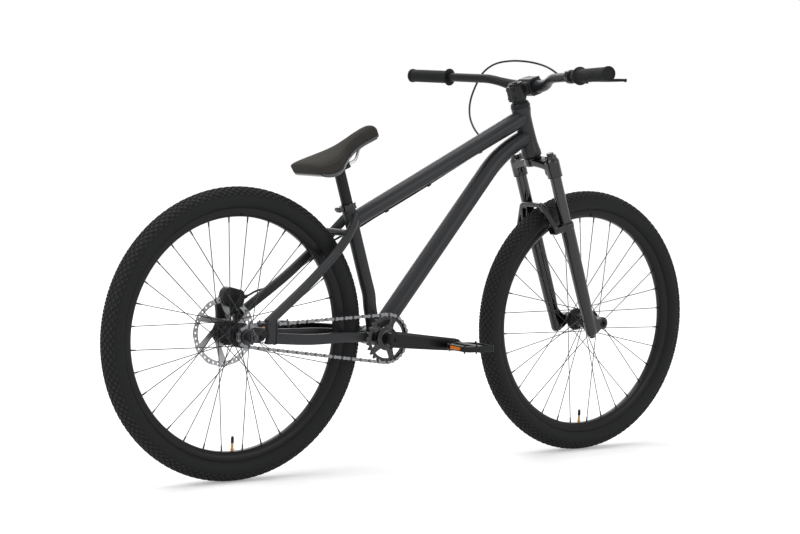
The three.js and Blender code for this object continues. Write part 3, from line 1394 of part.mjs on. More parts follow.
function pedalGroup(side) {
  const group = new THREE.Group();
  group.position.set(-side * crankLength * Math.cos(crankTurn), 0, side * crankLength * Math.sin(crankTurn));
  bike.add(group);
  return group;
}

const pedalSolid = pedalBody();
const pedalAxleSolid = pedalAxle();
const rightPedal = pedalGroup(-1);
const leftPedal = pedalGroup(1);
mesh(rightPedal, 'pedal_axle_right', mirrored(pedalAxleSolid), darkSteel);
mesh(rightPedal, 'pedal_right', mirrored(pedalSolid), satinBlack);
mesh(leftPedal, 'pedal_axle_left', pedalAxleSolid, darkSteel);
mesh(leftPedal, 'pedal_left', pedalSolid, satinBlack);

// Fork crown with its steerer. From here on, places are given in the steering frame: x forward from
// the steering axis, z up along it from the foot beside the front axle
const legSide = 67;
const legForward = 3.5;
const stanchionRadius = 14.5;
const socketRadius = 18.6;
const socketLow = 404;
const socketHigh = 452;
const socketCapRadius = 14;
const socketCapHeight = 8;
const crownTop = headTubeLow - seatGap - lowerCupHeight - seatGap;
const crownHigh = 10;
const crownDeep = 17;
const crownShoulder = 12;
const raceRadius = 22;
const raceHeight = 6;
const steererTop = 641;
const stanchionTop = socketHigh - socketCapHeight;
const stanchionBottom = 160;
const adjusterRadius = 9;
const adjusterHeight = 6;

function forkCrown() {
  const bridgeHeightAt = crownTop - crownHigh;
  const path = new THREE.CatmullRomCurve3([
    v3(legForward, -legSide, bridgeHeightAt - crownShoulder),
    v3(legForward / 2, -legSide / 2, bridgeHeightAt - crownShoulder / 3),
    v3(0, 0, bridgeHeightAt),
    v3(legForward / 2, legSide / 2, bridgeHeightAt - crownShoulder / 3),
    v3(legForward, legSide, bridgeHeightAt - crownShoulder)]);
  const arch = sweep(path, 6, 8, () => ({ wide: crownDeep, high: crownHigh, square: 0.6 }), v3(1, 0, 0));
  const sockets = [-1, 1].map((side) => turned([
    [0, socketLow], [socketRadius, socketLow],
    [socketRadius, socketHigh - socketCapHeight], [socketCapRadius, socketHigh],
    [socketCapRadius, socketHigh + socketCapHeight], [0, socketHigh + socketCapHeight]], 12)
    .translate(legForward, side * legSide, 0));
  const adjuster = disc(adjusterRadius, socketHigh, socketHigh + socketCapHeight + adjusterHeight, 12)
    .translate(legForward, -legSide, 0);
  const race = disc(raceRadius, crownTop - raceHeight, crownTop, 12);
  const steerer = disc(steererRadius, crownTop - raceHeight, steererTop, 12);
  const bores = [-1, 1].map((side) => disc(stanchionRadius + seatGap, socketLow - cutOverrun,
    stanchionTop, 12).translate(legForward, side * legSide, 0));
  return cut(join(arch, ...sockets, adjuster, race, steerer), ...bores);
}

mesh(steering, 'fork_crown', forkCrown(), glossBlack);

const stanchion = disc(stanchionRadius, stanchionBottom, stanchionTop - seatGap, 12);
mesh(steering, 'stanchion_left', moved(stanchion, legForward, legSide, 0), brightSteel);
mesh(steering, 'stanchion_right', moved(stanchion, legForward, -legSide, 0), brightSteel);

// Fork lowers: two cast legs joined by a braced arch behind the tyre, with the axle lugs in front
const legTop = 282;
const sealHeight = 8;
const sealRadius = 18.6;
const legTopRadius = 17.6;
const legBottomRadius = 14.5;
const legBottom = -20;
const legBoreLow = 58;
const legWaistRadius = 16.6;
const legWaistHeight = 72;
const legFootHeight = 34;
const legBore = stanchionRadius + seatGap;
const legNubRadius = 7;
const legNubHeight = 6;
const frontAxleRadius = 10;
const lugInside = frontHubWidth / 2 + seatGap;
const lugOutside = 78;
const lugRadius = 16;
const archTop = 347;
const archUnder = 334;
const archBack = -42;
const archFront = -28;
const archHalf = 35;
const archFoot = 268;
const archFootInside = legSide - legTopRadius;
const archFootOutside = legSide + legTopRadius / 2;
const archWindowShares = [[1.29, 0.63], [1.43, 0.56], [1.83, 0.27], [1.83, 0.22], [1.49, 0.22]];

function forkLeg(side) {
  const leg = turned([
    [0, legBottom], [legBottomRadius * 0.8, legBottom], [legBottomRadius, legBottom + legNubHeight],
    [legBottomRadius, legFootHeight], [legWaistRadius, legWaistHeight],
    [legTopRadius, legTop - sealHeight], [sealRadius, legTop - sealHeight], [sealRadius, legTop],
    [0, legTop]], 12);
  const lugOutline = [...circle(forkOffset, 0, lugRadius, 14).filter(([x]) => x > forkOffset - lugRadius / 2),
    [legForward, 1.2 * legFootHeight], [legForward - legBottomRadius / 2, 0], [legForward, -lugRadius]];
  const centre = [forkOffset / 2, 0];
  lugOutline.sort((a, b) => Math.atan2(a[1] - centre[1], a[0] - centre[0])
    - Math.atan2(b[1] - centre[1], b[0] - centre[0]));
  const lug = sidePlate(lugOutline, side > 0 ? lugInside : -lugOutside, lugOutside - lugInside);
  return join(leg.translate(legForward, side * legSide, 0), lug);
}

function archSolid() {
  const outer = [[archHalf, archTop], [archFootOutside, archFoot + legBottomRadius], [archFootOutside, archFoot],
    [archFootInside, archFoot], [archHalf * 0.9, archUnder]];
  const outline = [...outer, ...outer.map(([y, z]) => [-y, z]).reverse()];
  const windows = [-1, 1].map((side) => archWindowShares.map(([a, b]) => [side * archHalf * a,
    archFoot + (archTop - archFoot) * b]));
  const face = plate(outline, archFront - archBack, windows).rotateX(Math.PI / 2).rotateZ(Math.PI / 2);
  return face.translate(archBack, 0, 0);
}

function forkLowers() {
  const feet = [-1, 1].map((side) => block((archBack + legForward) / 2,
    side * (archFootInside + archFootOutside) / 2, archFoot + legBottomRadius / 2, legForward - archBack,
    archFootOutside - archFootInside, legBottomRadius));
  const axleBore = roundBar(v3(forkOffset, -2 * legSide, 0), v3(forkOffset, 2 * legSide, 0),
    frontAxleRadius + seatGap, 14);
  const bores = [-1, 1].map((side) => disc(legBore, legBoreLow, legTop + cutOverrun, 12)
    .translate(legForward, side * legSide, 0));
  const nub = disc(legNubRadius, legBottom - legNubHeight, legBottom, 12)
    .translate(legForward, -legSide, 0);
  return cut(join(forkLeg(-1), forkLeg(1), archSolid(), ...feet, nub), axleBore, ...bores);
}

mesh(steering, 'fork_lowers', forkLowers(), glossBlack);

const axleRecess = 5;
const axleRecessRadius = 7;

function frontAxleSolid() {
  const bar = roundBar(v3(0, -lugOutside, 0), v3(0, lugOutside, 0), frontAxleRadius, 14);
  const recesses = [-1, 1].map((side) => roundBar(v3(0, side * (lugOutside - axleRecess), 0),
    v3(0, side * (lugOutside + cutOverrun), 0), axleRecessRadius, 8));
  return cut(bar, ...recesses).translate(forkOffset, 0, 0);
}

mesh(steering, 'front_axle', frontAxleSolid(), brightSteel);

// Front wheel
const frontWheel = wheelGroup(steering, v3(forkOffset, 0, 0));
frontWheel.rotation.y = Math.PI / 2 - headAngle;
const frontFlange = 28;
const frontBarrel = 19;
const frontEnd = 15;
const frontBore = frontAxleRadius + 2 * runningGap;
const frontFace = frontHubWidth / 2 - seatGap;
mesh(frontWheel, 'front_tyre', tyre(), tyreRubber);
mesh(frontWheel, 'front_rim', rimWithValve(), satinBlack);
mesh(frontWheel, 'front_hub', join(
  hubShell({ bore: frontBore, right: -frontFlange, left: frontFlange, faceRight: -frontFace,
    faceLeft: frontFace, barrel: frontBarrel, endRight: frontEnd, endLeft: frontEnd }),
  ...spokes([-frontFlange, frontFlange])), satinBlack);

// Stem: a steerer clamp and a bar clamp joined by a short neck, with a four bolt faceplate
const spacerLow = headTubeHigh + seatGap + upperCupHeight + seatGap;
const spacerHeight = 5;
const spacerOuter = 18;
const stemLow = spacerLow + spacerHeight + seatGap;
const stemHeight = 40;
const stemRadius = 20;
const barForward = 44.5;
const barHeight = 625;
const barClampRadius = 15.9;
const stemBarRadius = 22;
const stemHalfWidth = 24;
const stemSlit = 2;
const pinchPlace = 11;
const pinchRadius = 4;
const faceplateGap = 1.2;
const faceplateBoltRise = 19;
const faceplateBoltSide = 17;
const faceplateBoltRadius = 3.4;
const faceplateWindow = 9;

mesh(steering, 'headset_spacer',
  washer(steererRadius + seatGap, spacerOuter, spacerLow, spacerLow + spacerHeight, 12), satinBlack);
const topCapHeight = 4;
const topCapLow = stemLow + stemHeight + seatGap;
mesh(steering, 'stem_top_cap', join(disc(spacerOuter, topCapLow, topCapLow + topCapHeight, 16),
  disc(spacerOuter / 3, topCapLow, topCapLow + 1.5 * topCapHeight, 12)), satinBlack);

// The rounded block round the bar, drawn in the side view, which the split line parts in two
const barBlockShares = [[-1, -0.5], [-0.6, -1], [0.6, -1], [1, -0.4], [1, 0.4], [0.6, 1], [-0.6, 1],
  [-1, 0.5]];

function barBlock(halfWidth) {
  return sidePlate(scaled(barBlockShares, stemBarRadius, stemBarRadius), -halfWidth, 2 * halfWidth)
    .translate(barForward, 0, barHeight);
}

const barBore = roundBar(v3(barForward, -3 * stemHalfWidth, barHeight),
  v3(barForward, 3 * stemHalfWidth, barHeight), clearOf(barClampRadius, 14), 14);
const frontHalf = block(barForward + stemBarRadius, 0, barHeight, 2 * stemBarRadius - faceplateGap,
  4 * stemHalfWidth, 4 * stemBarRadius);
const rearHalf = block(barForward - stemBarRadius, 0, barHeight, 2 * stemBarRadius, 4 * stemHalfWidth,
  4 * stemBarRadius);

function stem() {
  const middle = stemLow + stemHeight / 2;
  const clamp = disc(stemRadius, stemLow, stemLow + stemHeight, 14);
  const neck = sweep(straight(v3(0, 0, middle), v3(barForward - stemBarRadius / 2, 0, barHeight)), 1, 8,
    () => ({ wide: stemRadius * 0.8, high: stemHeight * 0.42, square: 0.5 }));
  const ears = block(-stemRadius, 0, middle, stemRadius / 2, stemRadius, stemHeight);
  const pinch = [-1, 1].map((end) => roundBar(v3(-stemRadius, -stemRadius * 0.65, middle + end * pinchPlace),
    v3(-stemRadius, stemRadius * 0.65, middle + end * pinchPlace), pinchRadius, 6));
  const slit = block(-stemRadius, 0, middle, stemRadius, stemSlit, 2 * stemHeight);
  const bore = disc(steererRadius + seatGap, stemLow - cutOverrun, stemLow + stemHeight + cutOverrun, 12);
  const split = cut(join(clamp, ears), slit);
  return cut(join(split, ...pinch, neck, common(barBlock(stemHalfWidth), rearHalf)), bore, barBore);
}

mesh(steering, 'stem', stem(), satinBlack);

function faceplate() {
  const shell = cut(common(barBlock(stemHalfWidth), frontHalf), barBore,
    block(barForward + stemBarRadius, 0, barHeight, stemBarRadius, 2 * faceplateWindow, faceplateWindow));
  const front = barForward + stemBarRadius * 0.62;
  const bolts = [-1, 1].flatMap((up) => [-1, 1].map((side) => roundBar(
    v3(barForward + faceplateGap, side * faceplateBoltSide, barHeight + up * faceplateBoltRise),
    v3(front + faceplateBoltRadius, side * faceplateBoltSide, barHeight + up * faceplateBoltRise),
    faceplateBoltRadius, 6)));
  return join(shell, ...bolts);
}

mesh(steering, 'stem_faceplate', cut(faceplate(), barBore), satinBlack);

// Handlebar: thick at the clamp, rising and sweeping back to straight ends under the grips
const barRadius = 11.1;
const barClampHalf = 35;
const barBendForward = 16;
const barBendSide = 137;
const barBendHeight = 654;
const barEndForward = -27;
const barEndSide = 380;
const barEndHeight = 676.5;
const barBendReach = 40;
const barBend = v3(barBendForward, barBendSide, barBendHeight);
const barEnd = v3(barEndForward, barEndSide, barEndHeight);
const barOut = barEnd.clone().sub(barBend).normalize();
const barTaperEnd = 95;

function handlebar() {
  const half = new THREE.CurvePath();
  const edge = v3(barForward, barClampHalf, barHeight);
  half.add(straight(v3(barForward, 0, barHeight), edge));
  half.add(new THREE.CubicBezierCurve3(edge, v3(barForward, barClampHalf + barBendReach, barHeight),
    barBend.clone().addScaledVector(barOut, -barBendReach), barBend));
  half.add(straight(barBend, barEnd));
  const steps = [0, barClampHalf, (barClampHalf + barTaperEnd) / 2, barTaperEnd,
    (barTaperEnd + barBendSide) / 2, barBendSide, barEndSide];
  const shares = [];
  for (const side of steps) {
    let low = 0;
    let high = 1;
    for (let k = 0; k < 30; k += 1) {
      const middle = (low + high) / 2;
      if (half.getPointAt(middle).y < side) low = middle;
      else high = middle;
    }
    shares.push((low + high) / 2);
  }
  const rings = [];
  const sides = 12;
  for (let k = -(shares.length - 1); k < shares.length; k += 1) {
    const flip = Math.sign(k) || 1;
    const centre = half.getPointAt(shares[Math.abs(k)]);
    const along = half.getTangentAt(shares[Math.abs(k)]);
    centre.y *= flip;
    along.x *= flip;
    along.z *= flip;
    const at = Math.abs(centre.y);
    const taper = Math.min(1, Math.max(0, (at - barClampHalf) / (barTaperEnd - barClampHalf)));
    const radius = barClampRadius + (barRadius - barClampRadius) * taper;
    const across = v3(1, 0, 0).addScaledVector(along, -along.x).normalize();
    const up = new THREE.Vector3().crossVectors(along, across);
    rings.push(circle(0, 0, radius, sides).map(([a, b]) => centre.clone().addScaledVector(across, a)
      .addScaledVector(up, b)));
  }
  return loft(rings);
}

mesh(steering, 'handlebar', handlebar(), satinBlack);

// Grips: turned along the straight end of the bar, flanged inboard and capped at the end
const gripStart = 117;
const gripFlangeRadius = 22;
const gripFlangeWidth = 4;
const gripRadius = 16;
const gripCapWidth = 7;
const gripCapRadius = 17.5;
const barLength = barEnd.distanceTo(barBend);
const gripEnd = barLength + gripCapWidth / 2;

// Frame of the left bar end: z runs outboard along the bar
function barEndMatrix() {
  const across = v3(1, 0, 0).addScaledVector(barOut, -barOut.x).normalize();
  const up = new THREE.Vector3().crossVectors(barOut, across);
  return new THREE.Matrix4().makeBasis(across, up, barOut).setPosition(barBend);
}

function grip() {
  const bore = barRadius + seatGap;
  const outer = [[gripFlangeRadius, gripStart], [gripFlangeRadius, gripStart + gripFlangeWidth]];
  outer.push([gripRadius, gripStart + 2 * gripFlangeWidth], [gripRadius, gripEnd - gripCapWidth]);
  outer.push([gripCapRadius, gripEnd - gripCapWidth], [gripCapRadius, gripEnd]);
  return turned([[bore, gripStart], ...outer, [0, gripEnd], [0, barLength + seatGap],
    [bore, barLength + seatGap], [bore, gripStart]], 14).applyMatrix4(barEndMatrix());
}

const leftGrip = grip();
mesh(steering, 'grip_left', leftGrip, gripRubber);
mesh(steering, 'grip_right', mirrored(leftGrip), gripRubber);

// Rear brake lever on the right bar. Its frame runs out along the bar in z and ahead of it in x
const leverForward = 0.8672;
const leverDrop = 0.498;
const leverClampPlace = 76;
const leverClampWidth = 13;
const leverClampRadius = 16.5;
const cylinderOffset = 25;
const cylinderRadius = 8.5;
const cylinderStart = 28;
const cylinderEnd = 84;
const pivotPlace = 91;
const pivotOffset = 33;
const pivotRadius = 3;
const earThickness = 3;
const earRadius = 7;
const leverHalfThick = 4.6;
const leverHalf = 5.5;
const leverSpine = [[33, 91], [42, 116], [50, 142], [57, 176], [61, 204], [64, 217]];
const leverHooked = 4;

function leverMatrix() {
  const out = barOut.clone();
  out.y *= -1;
  const bend = barBend.clone();
  bend.y *= -1;
  const ahead = v3(leverForward, 0, -leverDrop).addScaledVector(out, -(leverForward * out.x
    - leverDrop * out.z)).normalize();
  const normal = new THREE.Vector3().crossVectors(out, ahead);
  return new THREE.Matrix4().makeBasis(ahead, normal, out).setPosition(bend);
}

function leverBody() {
  const clamp = washer(clearOf(barRadius, 12), leverClampRadius, leverClampPlace - leverClampWidth / 2,
    leverClampPlace + leverClampWidth / 2, 12);
  const neck = block((barRadius + cylinderOffset) / 2 + seatGap, 0, leverClampPlace, cylinderOffset - barRadius,
    cylinderRadius, leverClampWidth);
  const cylinder = disc(cylinderRadius, cylinderStart, cylinderEnd, 10).translate(cylinderOffset, 0, 0);
  const nose = turned([[0, cylinderStart - 8], [hoseRadius * 1.6, cylinderStart - 8],
    [cylinderRadius, cylinderStart + 2], [0, cylinderStart + 2]], 10).translate(cylinderOffset, 0, 0);
  const ears = [-1, 1].map((side) => {
    const middle = side * (leverHalf + seatGap + earThickness / 2);
    const outline = [[cylinderOffset - 6, cylinderEnd - 14], [cylinderOffset + 6, cylinderEnd - 14],
      [pivotOffset + earRadius, pivotPlace], [pivotOffset, pivotPlace + earRadius],
      [pivotOffset - earRadius, pivotPlace]];
    return sidePlate(outline, middle - earThickness / 2, earThickness);
  });
  const reach = leverHalf + earThickness + 1;
  const pin = roundBar(v3(pivotOffset, -reach, pivotPlace), v3(pivotOffset, reach, pivotPlace), pivotRadius, 8);
  const barRoom = disc(clearOf(barRadius, 12), -leverClampPlace, 2 * leverClampPlace, 12);
  return cut(join(clamp, neck, cylinder, nose, ...ears, pin), barRoom).applyMatrix4(leverMatrix());
}

mesh(steering, 'brake_lever_body', leverBody(), glossBlack);

function brakeLever() {
  const path = new THREE.CatmullRomCurve3(leverSpine.map(([x, z]) => v3(x, 0, z)));
  const blade = sweep(path, 6, 8, (share) => ({
    wide: leverHalf - 0.4, high: leverHalfThick - 1.8 * share, square: 0.7 }));
  const eye = roundBar(v3(pivotOffset, -leverHalf, pivotPlace), v3(pivotOffset, leverHalf, pivotPlace),
    earRadius - 1, 10);
  const bore = roundBar(v3(pivotOffset, -2 * leverHalf, pivotPlace), v3(pivotOffset, 2 * leverHalf, pivotPlace),
    pivotRadius + seatGap, 8);
  const hook = roundBar(v3(64, 0, 217), v3(64 + leverHooked, 0, 219), leverHalf - 1, 8);
  return cut(join(blade, eye, hook), bore).applyMatrix4(leverMatrix());
}

mesh(steering, 'brake_lever', brakeLever(), satinBlack);

export default bike;
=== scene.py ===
# Dirt jump bike, dressed over its CAD solids. The sections follow the bike as it is put together: camera
# and studio, brake hose, frame, wheels, chain, cranks and pedals, rear brake, seat, fork, stem, bar, lever.
# Sizes are millimetres in the part's own frame: X forward, Y to the rider's left, Z up.
import math

import bpy
from mathutils import Matrix, Vector


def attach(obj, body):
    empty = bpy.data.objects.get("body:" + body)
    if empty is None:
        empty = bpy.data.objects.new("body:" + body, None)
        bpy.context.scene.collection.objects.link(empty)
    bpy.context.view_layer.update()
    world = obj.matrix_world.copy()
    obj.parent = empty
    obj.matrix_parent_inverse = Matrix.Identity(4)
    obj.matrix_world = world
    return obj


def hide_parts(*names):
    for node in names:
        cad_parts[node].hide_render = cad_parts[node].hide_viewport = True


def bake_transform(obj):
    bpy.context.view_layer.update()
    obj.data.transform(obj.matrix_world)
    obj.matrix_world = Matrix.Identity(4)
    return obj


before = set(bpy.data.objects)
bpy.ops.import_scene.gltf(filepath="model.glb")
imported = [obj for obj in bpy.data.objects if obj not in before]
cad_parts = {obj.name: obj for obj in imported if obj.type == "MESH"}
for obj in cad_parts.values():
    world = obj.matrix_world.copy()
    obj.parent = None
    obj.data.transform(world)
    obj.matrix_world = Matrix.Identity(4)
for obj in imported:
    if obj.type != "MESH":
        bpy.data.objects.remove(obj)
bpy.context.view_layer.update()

# Camera and studio: the view from behind on the chain side through a short telephoto lens, on a plain
# white floor under an even overhead light, with a lower softbox on each side.
GROUND = -314.6
view_along = Vector((0.5844, 0.8083, -0.0708)).normalized()
view_right = Vector((0.8113, -0.5836, 0.0342)).normalized()
view_up = view_right.cross(view_along)
camera = bpy.data.objects.new("camera", bpy.data.cameras.new("camera"))
bpy.context.scene.collection.objects.link(camera)
camera.data.lens = 83.72
camera.data.sensor_width = 36
camera.data.clip_end = 60
camera.matrix_world = Matrix.Translation((-2.5197, -3.5774, 0.4765)) @ Matrix(
    (view_right, view_up, -view_along)).transposed().to_4x4()
bpy.context.scene.camera = camera
bpy.context.scene.view_settings.view_transform = "Standard"


def seen_white(tree, lit):
    """White for the camera and for mirrors and glass, while only the lit strength falls on the object"""
    path = tree.nodes.new("ShaderNodeLightPath")
    seen = path.outputs["Is Camera Ray"]
    for kind in ("Is Glossy Ray", "Is Transmission Ray"):
        either = tree.nodes.new("ShaderNodeMath")
        either.operation = "MAXIMUM"
        tree.links.new(seen, either.inputs[0])
        tree.links.new(path.outputs[kind], either.inputs[1])
        seen = either.outputs[0]
    strength = tree.nodes.new("ShaderNodeMix")
    strength.inputs["A"].default_value = lit
    strength.inputs["B"].default_value = 1
    tree.links.new(seen, strength.inputs["Factor"])
    return strength.outputs["Result"]


studio = bpy.data.worlds.new("studio")
studio.use_nodes = True
bpy.context.scene.world = studio
backdrop = studio.node_tree.nodes["Background"]
backdrop.inputs["Color"].default_value = (1, 1, 1, 1)
STUDIO_STRENGTH = 0.34
studio.node_tree.links.new(seen_white(studio.node_tree, STUDIO_STRENGTH), backdrop.inputs["Strength"])

bpy.ops.object.select_all(action="DESELECT")
bpy.ops.mesh.primitive_plane_add(size=60, location=(0, 0, GROUND / 1000))
floor = bpy.context.object
floor.name = "floor"
paper = bpy.data.materials.new("white paper")
paper.use_nodes = True
paper_tree = paper.node_tree
matte = paper_tree.nodes["Principled BSDF"]
matte.inputs["Base Color"].default_value = (0.83, 0.83, 0.83, 1)
matte.inputs["Roughness"].default_value = 0.9
glow = paper_tree.nodes.new("ShaderNodeEmission")
glow.inputs["Color"].default_value = (0.3, 0.3, 0.3, 1)
both = paper_tree.nodes.new("ShaderNodeAddShader")
paper_tree.links.new(seen_white(paper_tree, 0), glow.inputs["Strength"])
paper_tree.links.new(matte.outputs[0], both.inputs[0])
paper_tree.links.new(glow.outputs[0], both.inputs[1])
paper_tree.links.new(both.outputs[0], paper_tree.nodes["Material Output"].inputs["Surface"])
floor.data.materials.append(paper)

overhead = bpy.data.objects.new("overhead light", bpy.data.lights.new("overhead light", "SUN"))
bpy.context.scene.collection.objects.link(overhead)
overhead.data.energy = 1.9
overhead.data.angle = math.radians(50)
overhead.rotation_euler = (math.radians(-8), math.radians(-12), 0)
for lamp_name, place, size, watts in (
        ("softbox left", (-3.6, -0.6, 1.7), 2.2, 40),
        ("softbox right", (1.6, -3.8, 1.5), 2.2, 30),
        ("softbox behind", (1.4, 3.6, 2.2), 2.4, 40)):
    lamp = bpy.data.objects.new(lamp_name, bpy.data.lights.new(lamp_name, "AREA"))
    bpy.context.scene.collection.objects.link(lamp)
    lamp.data.size = size
    lamp.data.energy = watts
    lamp.location = place
    lamp.rotation_euler = (Vector((0.1, 0, 0.1)) - Vector(place)).to_track_quat("-Z", "Y").to_euler()

# Brake hose: a smooth black plastic hose. It leaves the lever forwards, swings round ahead of the left
# bar and comes back to the guide under the top tube, then follows the tube and the left seatstay.
hose_on_bars = [
    (430, -161.2, 621.9), (432.6, -148, 622), (436, -126, 631), (441, -85, 648), (447, -40, 660),
    (440, 5, 668), (429, 60, 670), (422, 115, 662), (421, 160, 640), (416, 182, 606), (402, 182, 570),
    (380, 155, 533), (356, 105, 500), (342, 55, 475), (332, 22, 460), (323.8, 11.4, 453.8),
    (315.4, 10.05, 449.3)]
hose_on_frame = [
    (314.8, 10, 448.9), (258, 7.4, 419.4), (201, 4.6, 389.8), (144.8, 2, 360.6), (94, 1, 334.4),
    (43, 0.5, 308.6), (-8, 2, 282.6), (-44, 15, 258), (-78, 31, 238), (-112, 47, 214), (-150, 60, 179),
    (-200, 73, 142), (-245, 81, 116), (-285, 78, 106), (-307, 67, 100), (-320, 60, 97)]
HOSE_RADIUS = 2.5


def flowing(places, steps=8):
    """One smooth line through the places, which passes each of them without overshooting"""
    given = [Vector(p) for p in places]
    known = [2 * given[0] - given[1], *given, 2 * given[-1] - given[-2]]
    line = []
    for a, b, c, d in zip(known, known[1:], known[2:], known[3:]):
        ta = 0
        tb = ta + math.sqrt((b - a).length)
        tc = tb + math.sqrt((c - b).length)
        td = tc + math.sqrt((d - c).length)
        for k in range(steps):
            t = tb + (tc - tb) * k / steps
            ab = a.lerp(b, (t - ta) / (tb - ta))
            bc = b.lerp(c, (t - tb) / (tc - tb))
            cd = c.lerp(d, (t - tc) / (td - tc))
            abc = ab.lerp(bc, (t - ta) / (tc - ta))
            bcd = bc.lerp(cd, (t - tb) / (td - tb))
            line.append(abc.lerp(bcd, (t - tb) / (tc - tb)))
    return [*line, given[-1]]


def only(obj):
    """Selects this piece alone and makes it the active one"""
    bpy.ops.object.select_all(action="DESELECT")
    obj.select_set(True)
    bpy.context.view_layer.objects.active = obj


def smooth(obj, degrees=35):
    only(obj)
    bpy.ops.object.shade_smooth_by_angle(angle=math.radians(degrees))
    return obj


def drop(obj):
    bpy.data.objects.remove(obj)


def section_of(half_wide, half_high, squareness):
    """A closed curve between an ellipse and a box"""
    bpy.ops.curve.primitive_nurbs_circle_add()
    section = bpy.context.object
    section.data.splines.clear()
    spline = section.data.splines.new("POLY")
    spline.points.add(31)
    for k, point in enumerate(spline.points):
        c, s = math.cos(k / 16 * math.pi), math.sin(k / 16 * math.pi)
        point.co = (math.copysign(abs(c) ** squareness, c) * half_wide / 1000,
                    math.copysign(abs(s) ** squareness, s) * half_high / 1000, 0, 1)
    spline.use_cyclic_u = True
    return section


def drawn(name, line, radius=1, sides=12, shares=None, closed=False, section=None, twist="Z_UP"):
    """A tube of one radius or bar of one section drawn along a line, times each place's share"""
    outline = section_of(*section) if section else None
    bpy.ops.curve.primitive_nurbs_path_add(location=(0, 0, 0))
    bar = bpy.context.object
    bar.name = name
    shape = bar.data
    shape.splines.clear()
    spline = shape.splines.new("POLY")
    spline.points.add(len(line) - 1)
    for k, (point, place) in enumerate(zip(spline.points, line)):
        point.co = (place[0] / 1000, place[1] / 1000, place[2] / 1000, 1)
        point.radius = shares[k] if shares else 1
    spline.use_cyclic_u = closed
    spline.use_smooth = True
    shape.twist_mode = twist if section else "MINIMUM"
    shape.use_fill_caps = not closed
    if section:
        shape.bevel_mode = "OBJECT"
        shape.bevel_object = outline
    else:
        shape.bevel_depth = radius / 1000
        shape.bevel_resolution = (sides - 4) // 2
    bpy.ops.object.convert(target="MESH")
    bar = bpy.context.object
    bpy.ops.object.mode_set(mode="EDIT")
    bpy.ops.mesh.select_all(action="SELECT")
    bpy.ops.mesh.remove_doubles(threshold=1e-6)
    bpy.ops.mesh.normals_make_consistent(inside=False)
    bpy.ops.object.mode_set(mode="OBJECT")
    if outline:
        drop(outline)
    return smooth(bar, 40)


METAL_GLINT = 0.5
MATT_GLINT = 0.16


def finish(name, shade, roughness, metallic=0.0, uneven=0.08, grain=0.0, size=60, coat=0.0, tint=0.12):
    """A finish a little uneven in gloss and tone. Its shade is from 0 to 255, as a display shows it"""
    colour = [((c / 255 + 0.055) / 1.055) ** 2.4 if c > 10 else c / 255 / 12.92 for c in shade]
    made = bpy.data.materials.new(name)
    made.use_nodes = True
    tree = made.node_tree
    shader = tree.nodes["Principled BSDF"]
    shader.inputs["Metallic"].default_value = metallic
    shader.inputs["Coat Weight"].default_value = coat
    shader.inputs["Coat Roughness"].default_value = 0.08
    shader.inputs["Specular IOR Level"].default_value = METAL_GLINT if metallic > 0.3 else MATT_GLINT
    place = tree.nodes.new("ShaderNodeTexCoord")
    cloud = tree.nodes.new("ShaderNodeTexNoise")
    cloud.inputs["Scale"].default_value = size
    cloud.inputs["Detail"].default_value = 3
    tree.links.new(place.outputs["Object"], cloud.inputs["Vector"])
    gloss = tree.nodes.new("ShaderNodeMapRange")
    gloss.inputs["To Min"].default_value = max(0.02, roughness - uneven)
    gloss.inputs["To Max"].default_value = min(1, roughness + uneven)
    tree.links.new(cloud.outputs["Fac"], gloss.inputs["Value"])
    tree.links.new(gloss.outputs["Result"], shader.inputs["Roughness"])
    tone = tree.nodes.new("ShaderNodeMix")
    tone.data_type = "RGBA"
    tone.inputs["A"].default_value = [c * (1 - tint) for c in colour] + [1]
    tone.inputs["B"].default_value = [min(1, c * (1 + tint)) for c in colour] + [1]
    tree.links.new(cloud.outputs["Fac"], tone.inputs["Factor"])
    tree.links.new(tone.outputs["Result"], shader.inputs["Base Color"])
    if grain:
        sand = tree.nodes.new("ShaderNodeTexNoise")
        sand.inputs["Scale"].default_value = 40 * size
        tree.links.new(place.outputs["Object"], sand.inputs["Vector"])
        bump = tree.nodes.new("ShaderNodeBump")
        bump.inputs["Strength"].default_value = grain
        bump.inputs["Distance"].default_value = 0.0003
        tree.links.new(sand.outputs["Fac"], bump.inputs["Height"])
        tree.links.new(bump.outputs["Normal"], shader.inputs["Normal"])
    return made


def give(material, *pieces):
    for piece in pieces:
        piece.data.materials.append(material)


def fit(obj, material, body, *nodes, slot=None):
    """Paints a finished piece, lets it ride on its body and puts it in the place of its CAD nodes"""
    if material:
        obj.data.materials.clear()
        give(material, obj)
    if body:
        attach(obj, body)
    if nodes:
        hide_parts(*nodes)
    return obj


hose_black = finish("hose black", (30, 31, 33), 0.34, grain=0.1)
bars_line = flowing(hose_on_bars)
frame_hose_line = flowing(hose_on_frame, 5)
bars_hose = drawn("brake_hose_bars_skin", bars_line, HOSE_RADIUS)
fit(bars_hose, hose_black, None, "brake_hose_bars", slot="hose_black")
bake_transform(bars_hose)
fit(drawn("brake_hose_frame_skin", frame_hose_line, HOSE_RADIUS, 10), hose_black, "frame",
    "brake_hose_frame", slot="hose_black")

# Frame: welded from butted steel tubes and painted satin graphite. The head tube is a turned hourglass
# and the top and down tubes swell towards it. Each joint has a rippled weld bead.
paint = finish("satin graphite paint", (44, 45, 47), 0.42, grain=0.06, size=9, coat=0.12)
HEAD_ANGLE = math.radians(70.3)
head_forward = Vector((math.sin(HEAD_ANGLE), 0, math.cos(HEAD_ANGLE)))
head_up = Vector((-math.cos(HEAD_ANGLE), 0, math.sin(HEAD_ANGLE)))
REAR_AXLE = Vector((-382.3, 0, 17.9))
FRONT_AXLE = Vector((652.1, 0, 17.9))
AXLE_AHEAD = 39.3
steering_foot = FRONT_AXLE - AXLE_AHEAD * head_forward


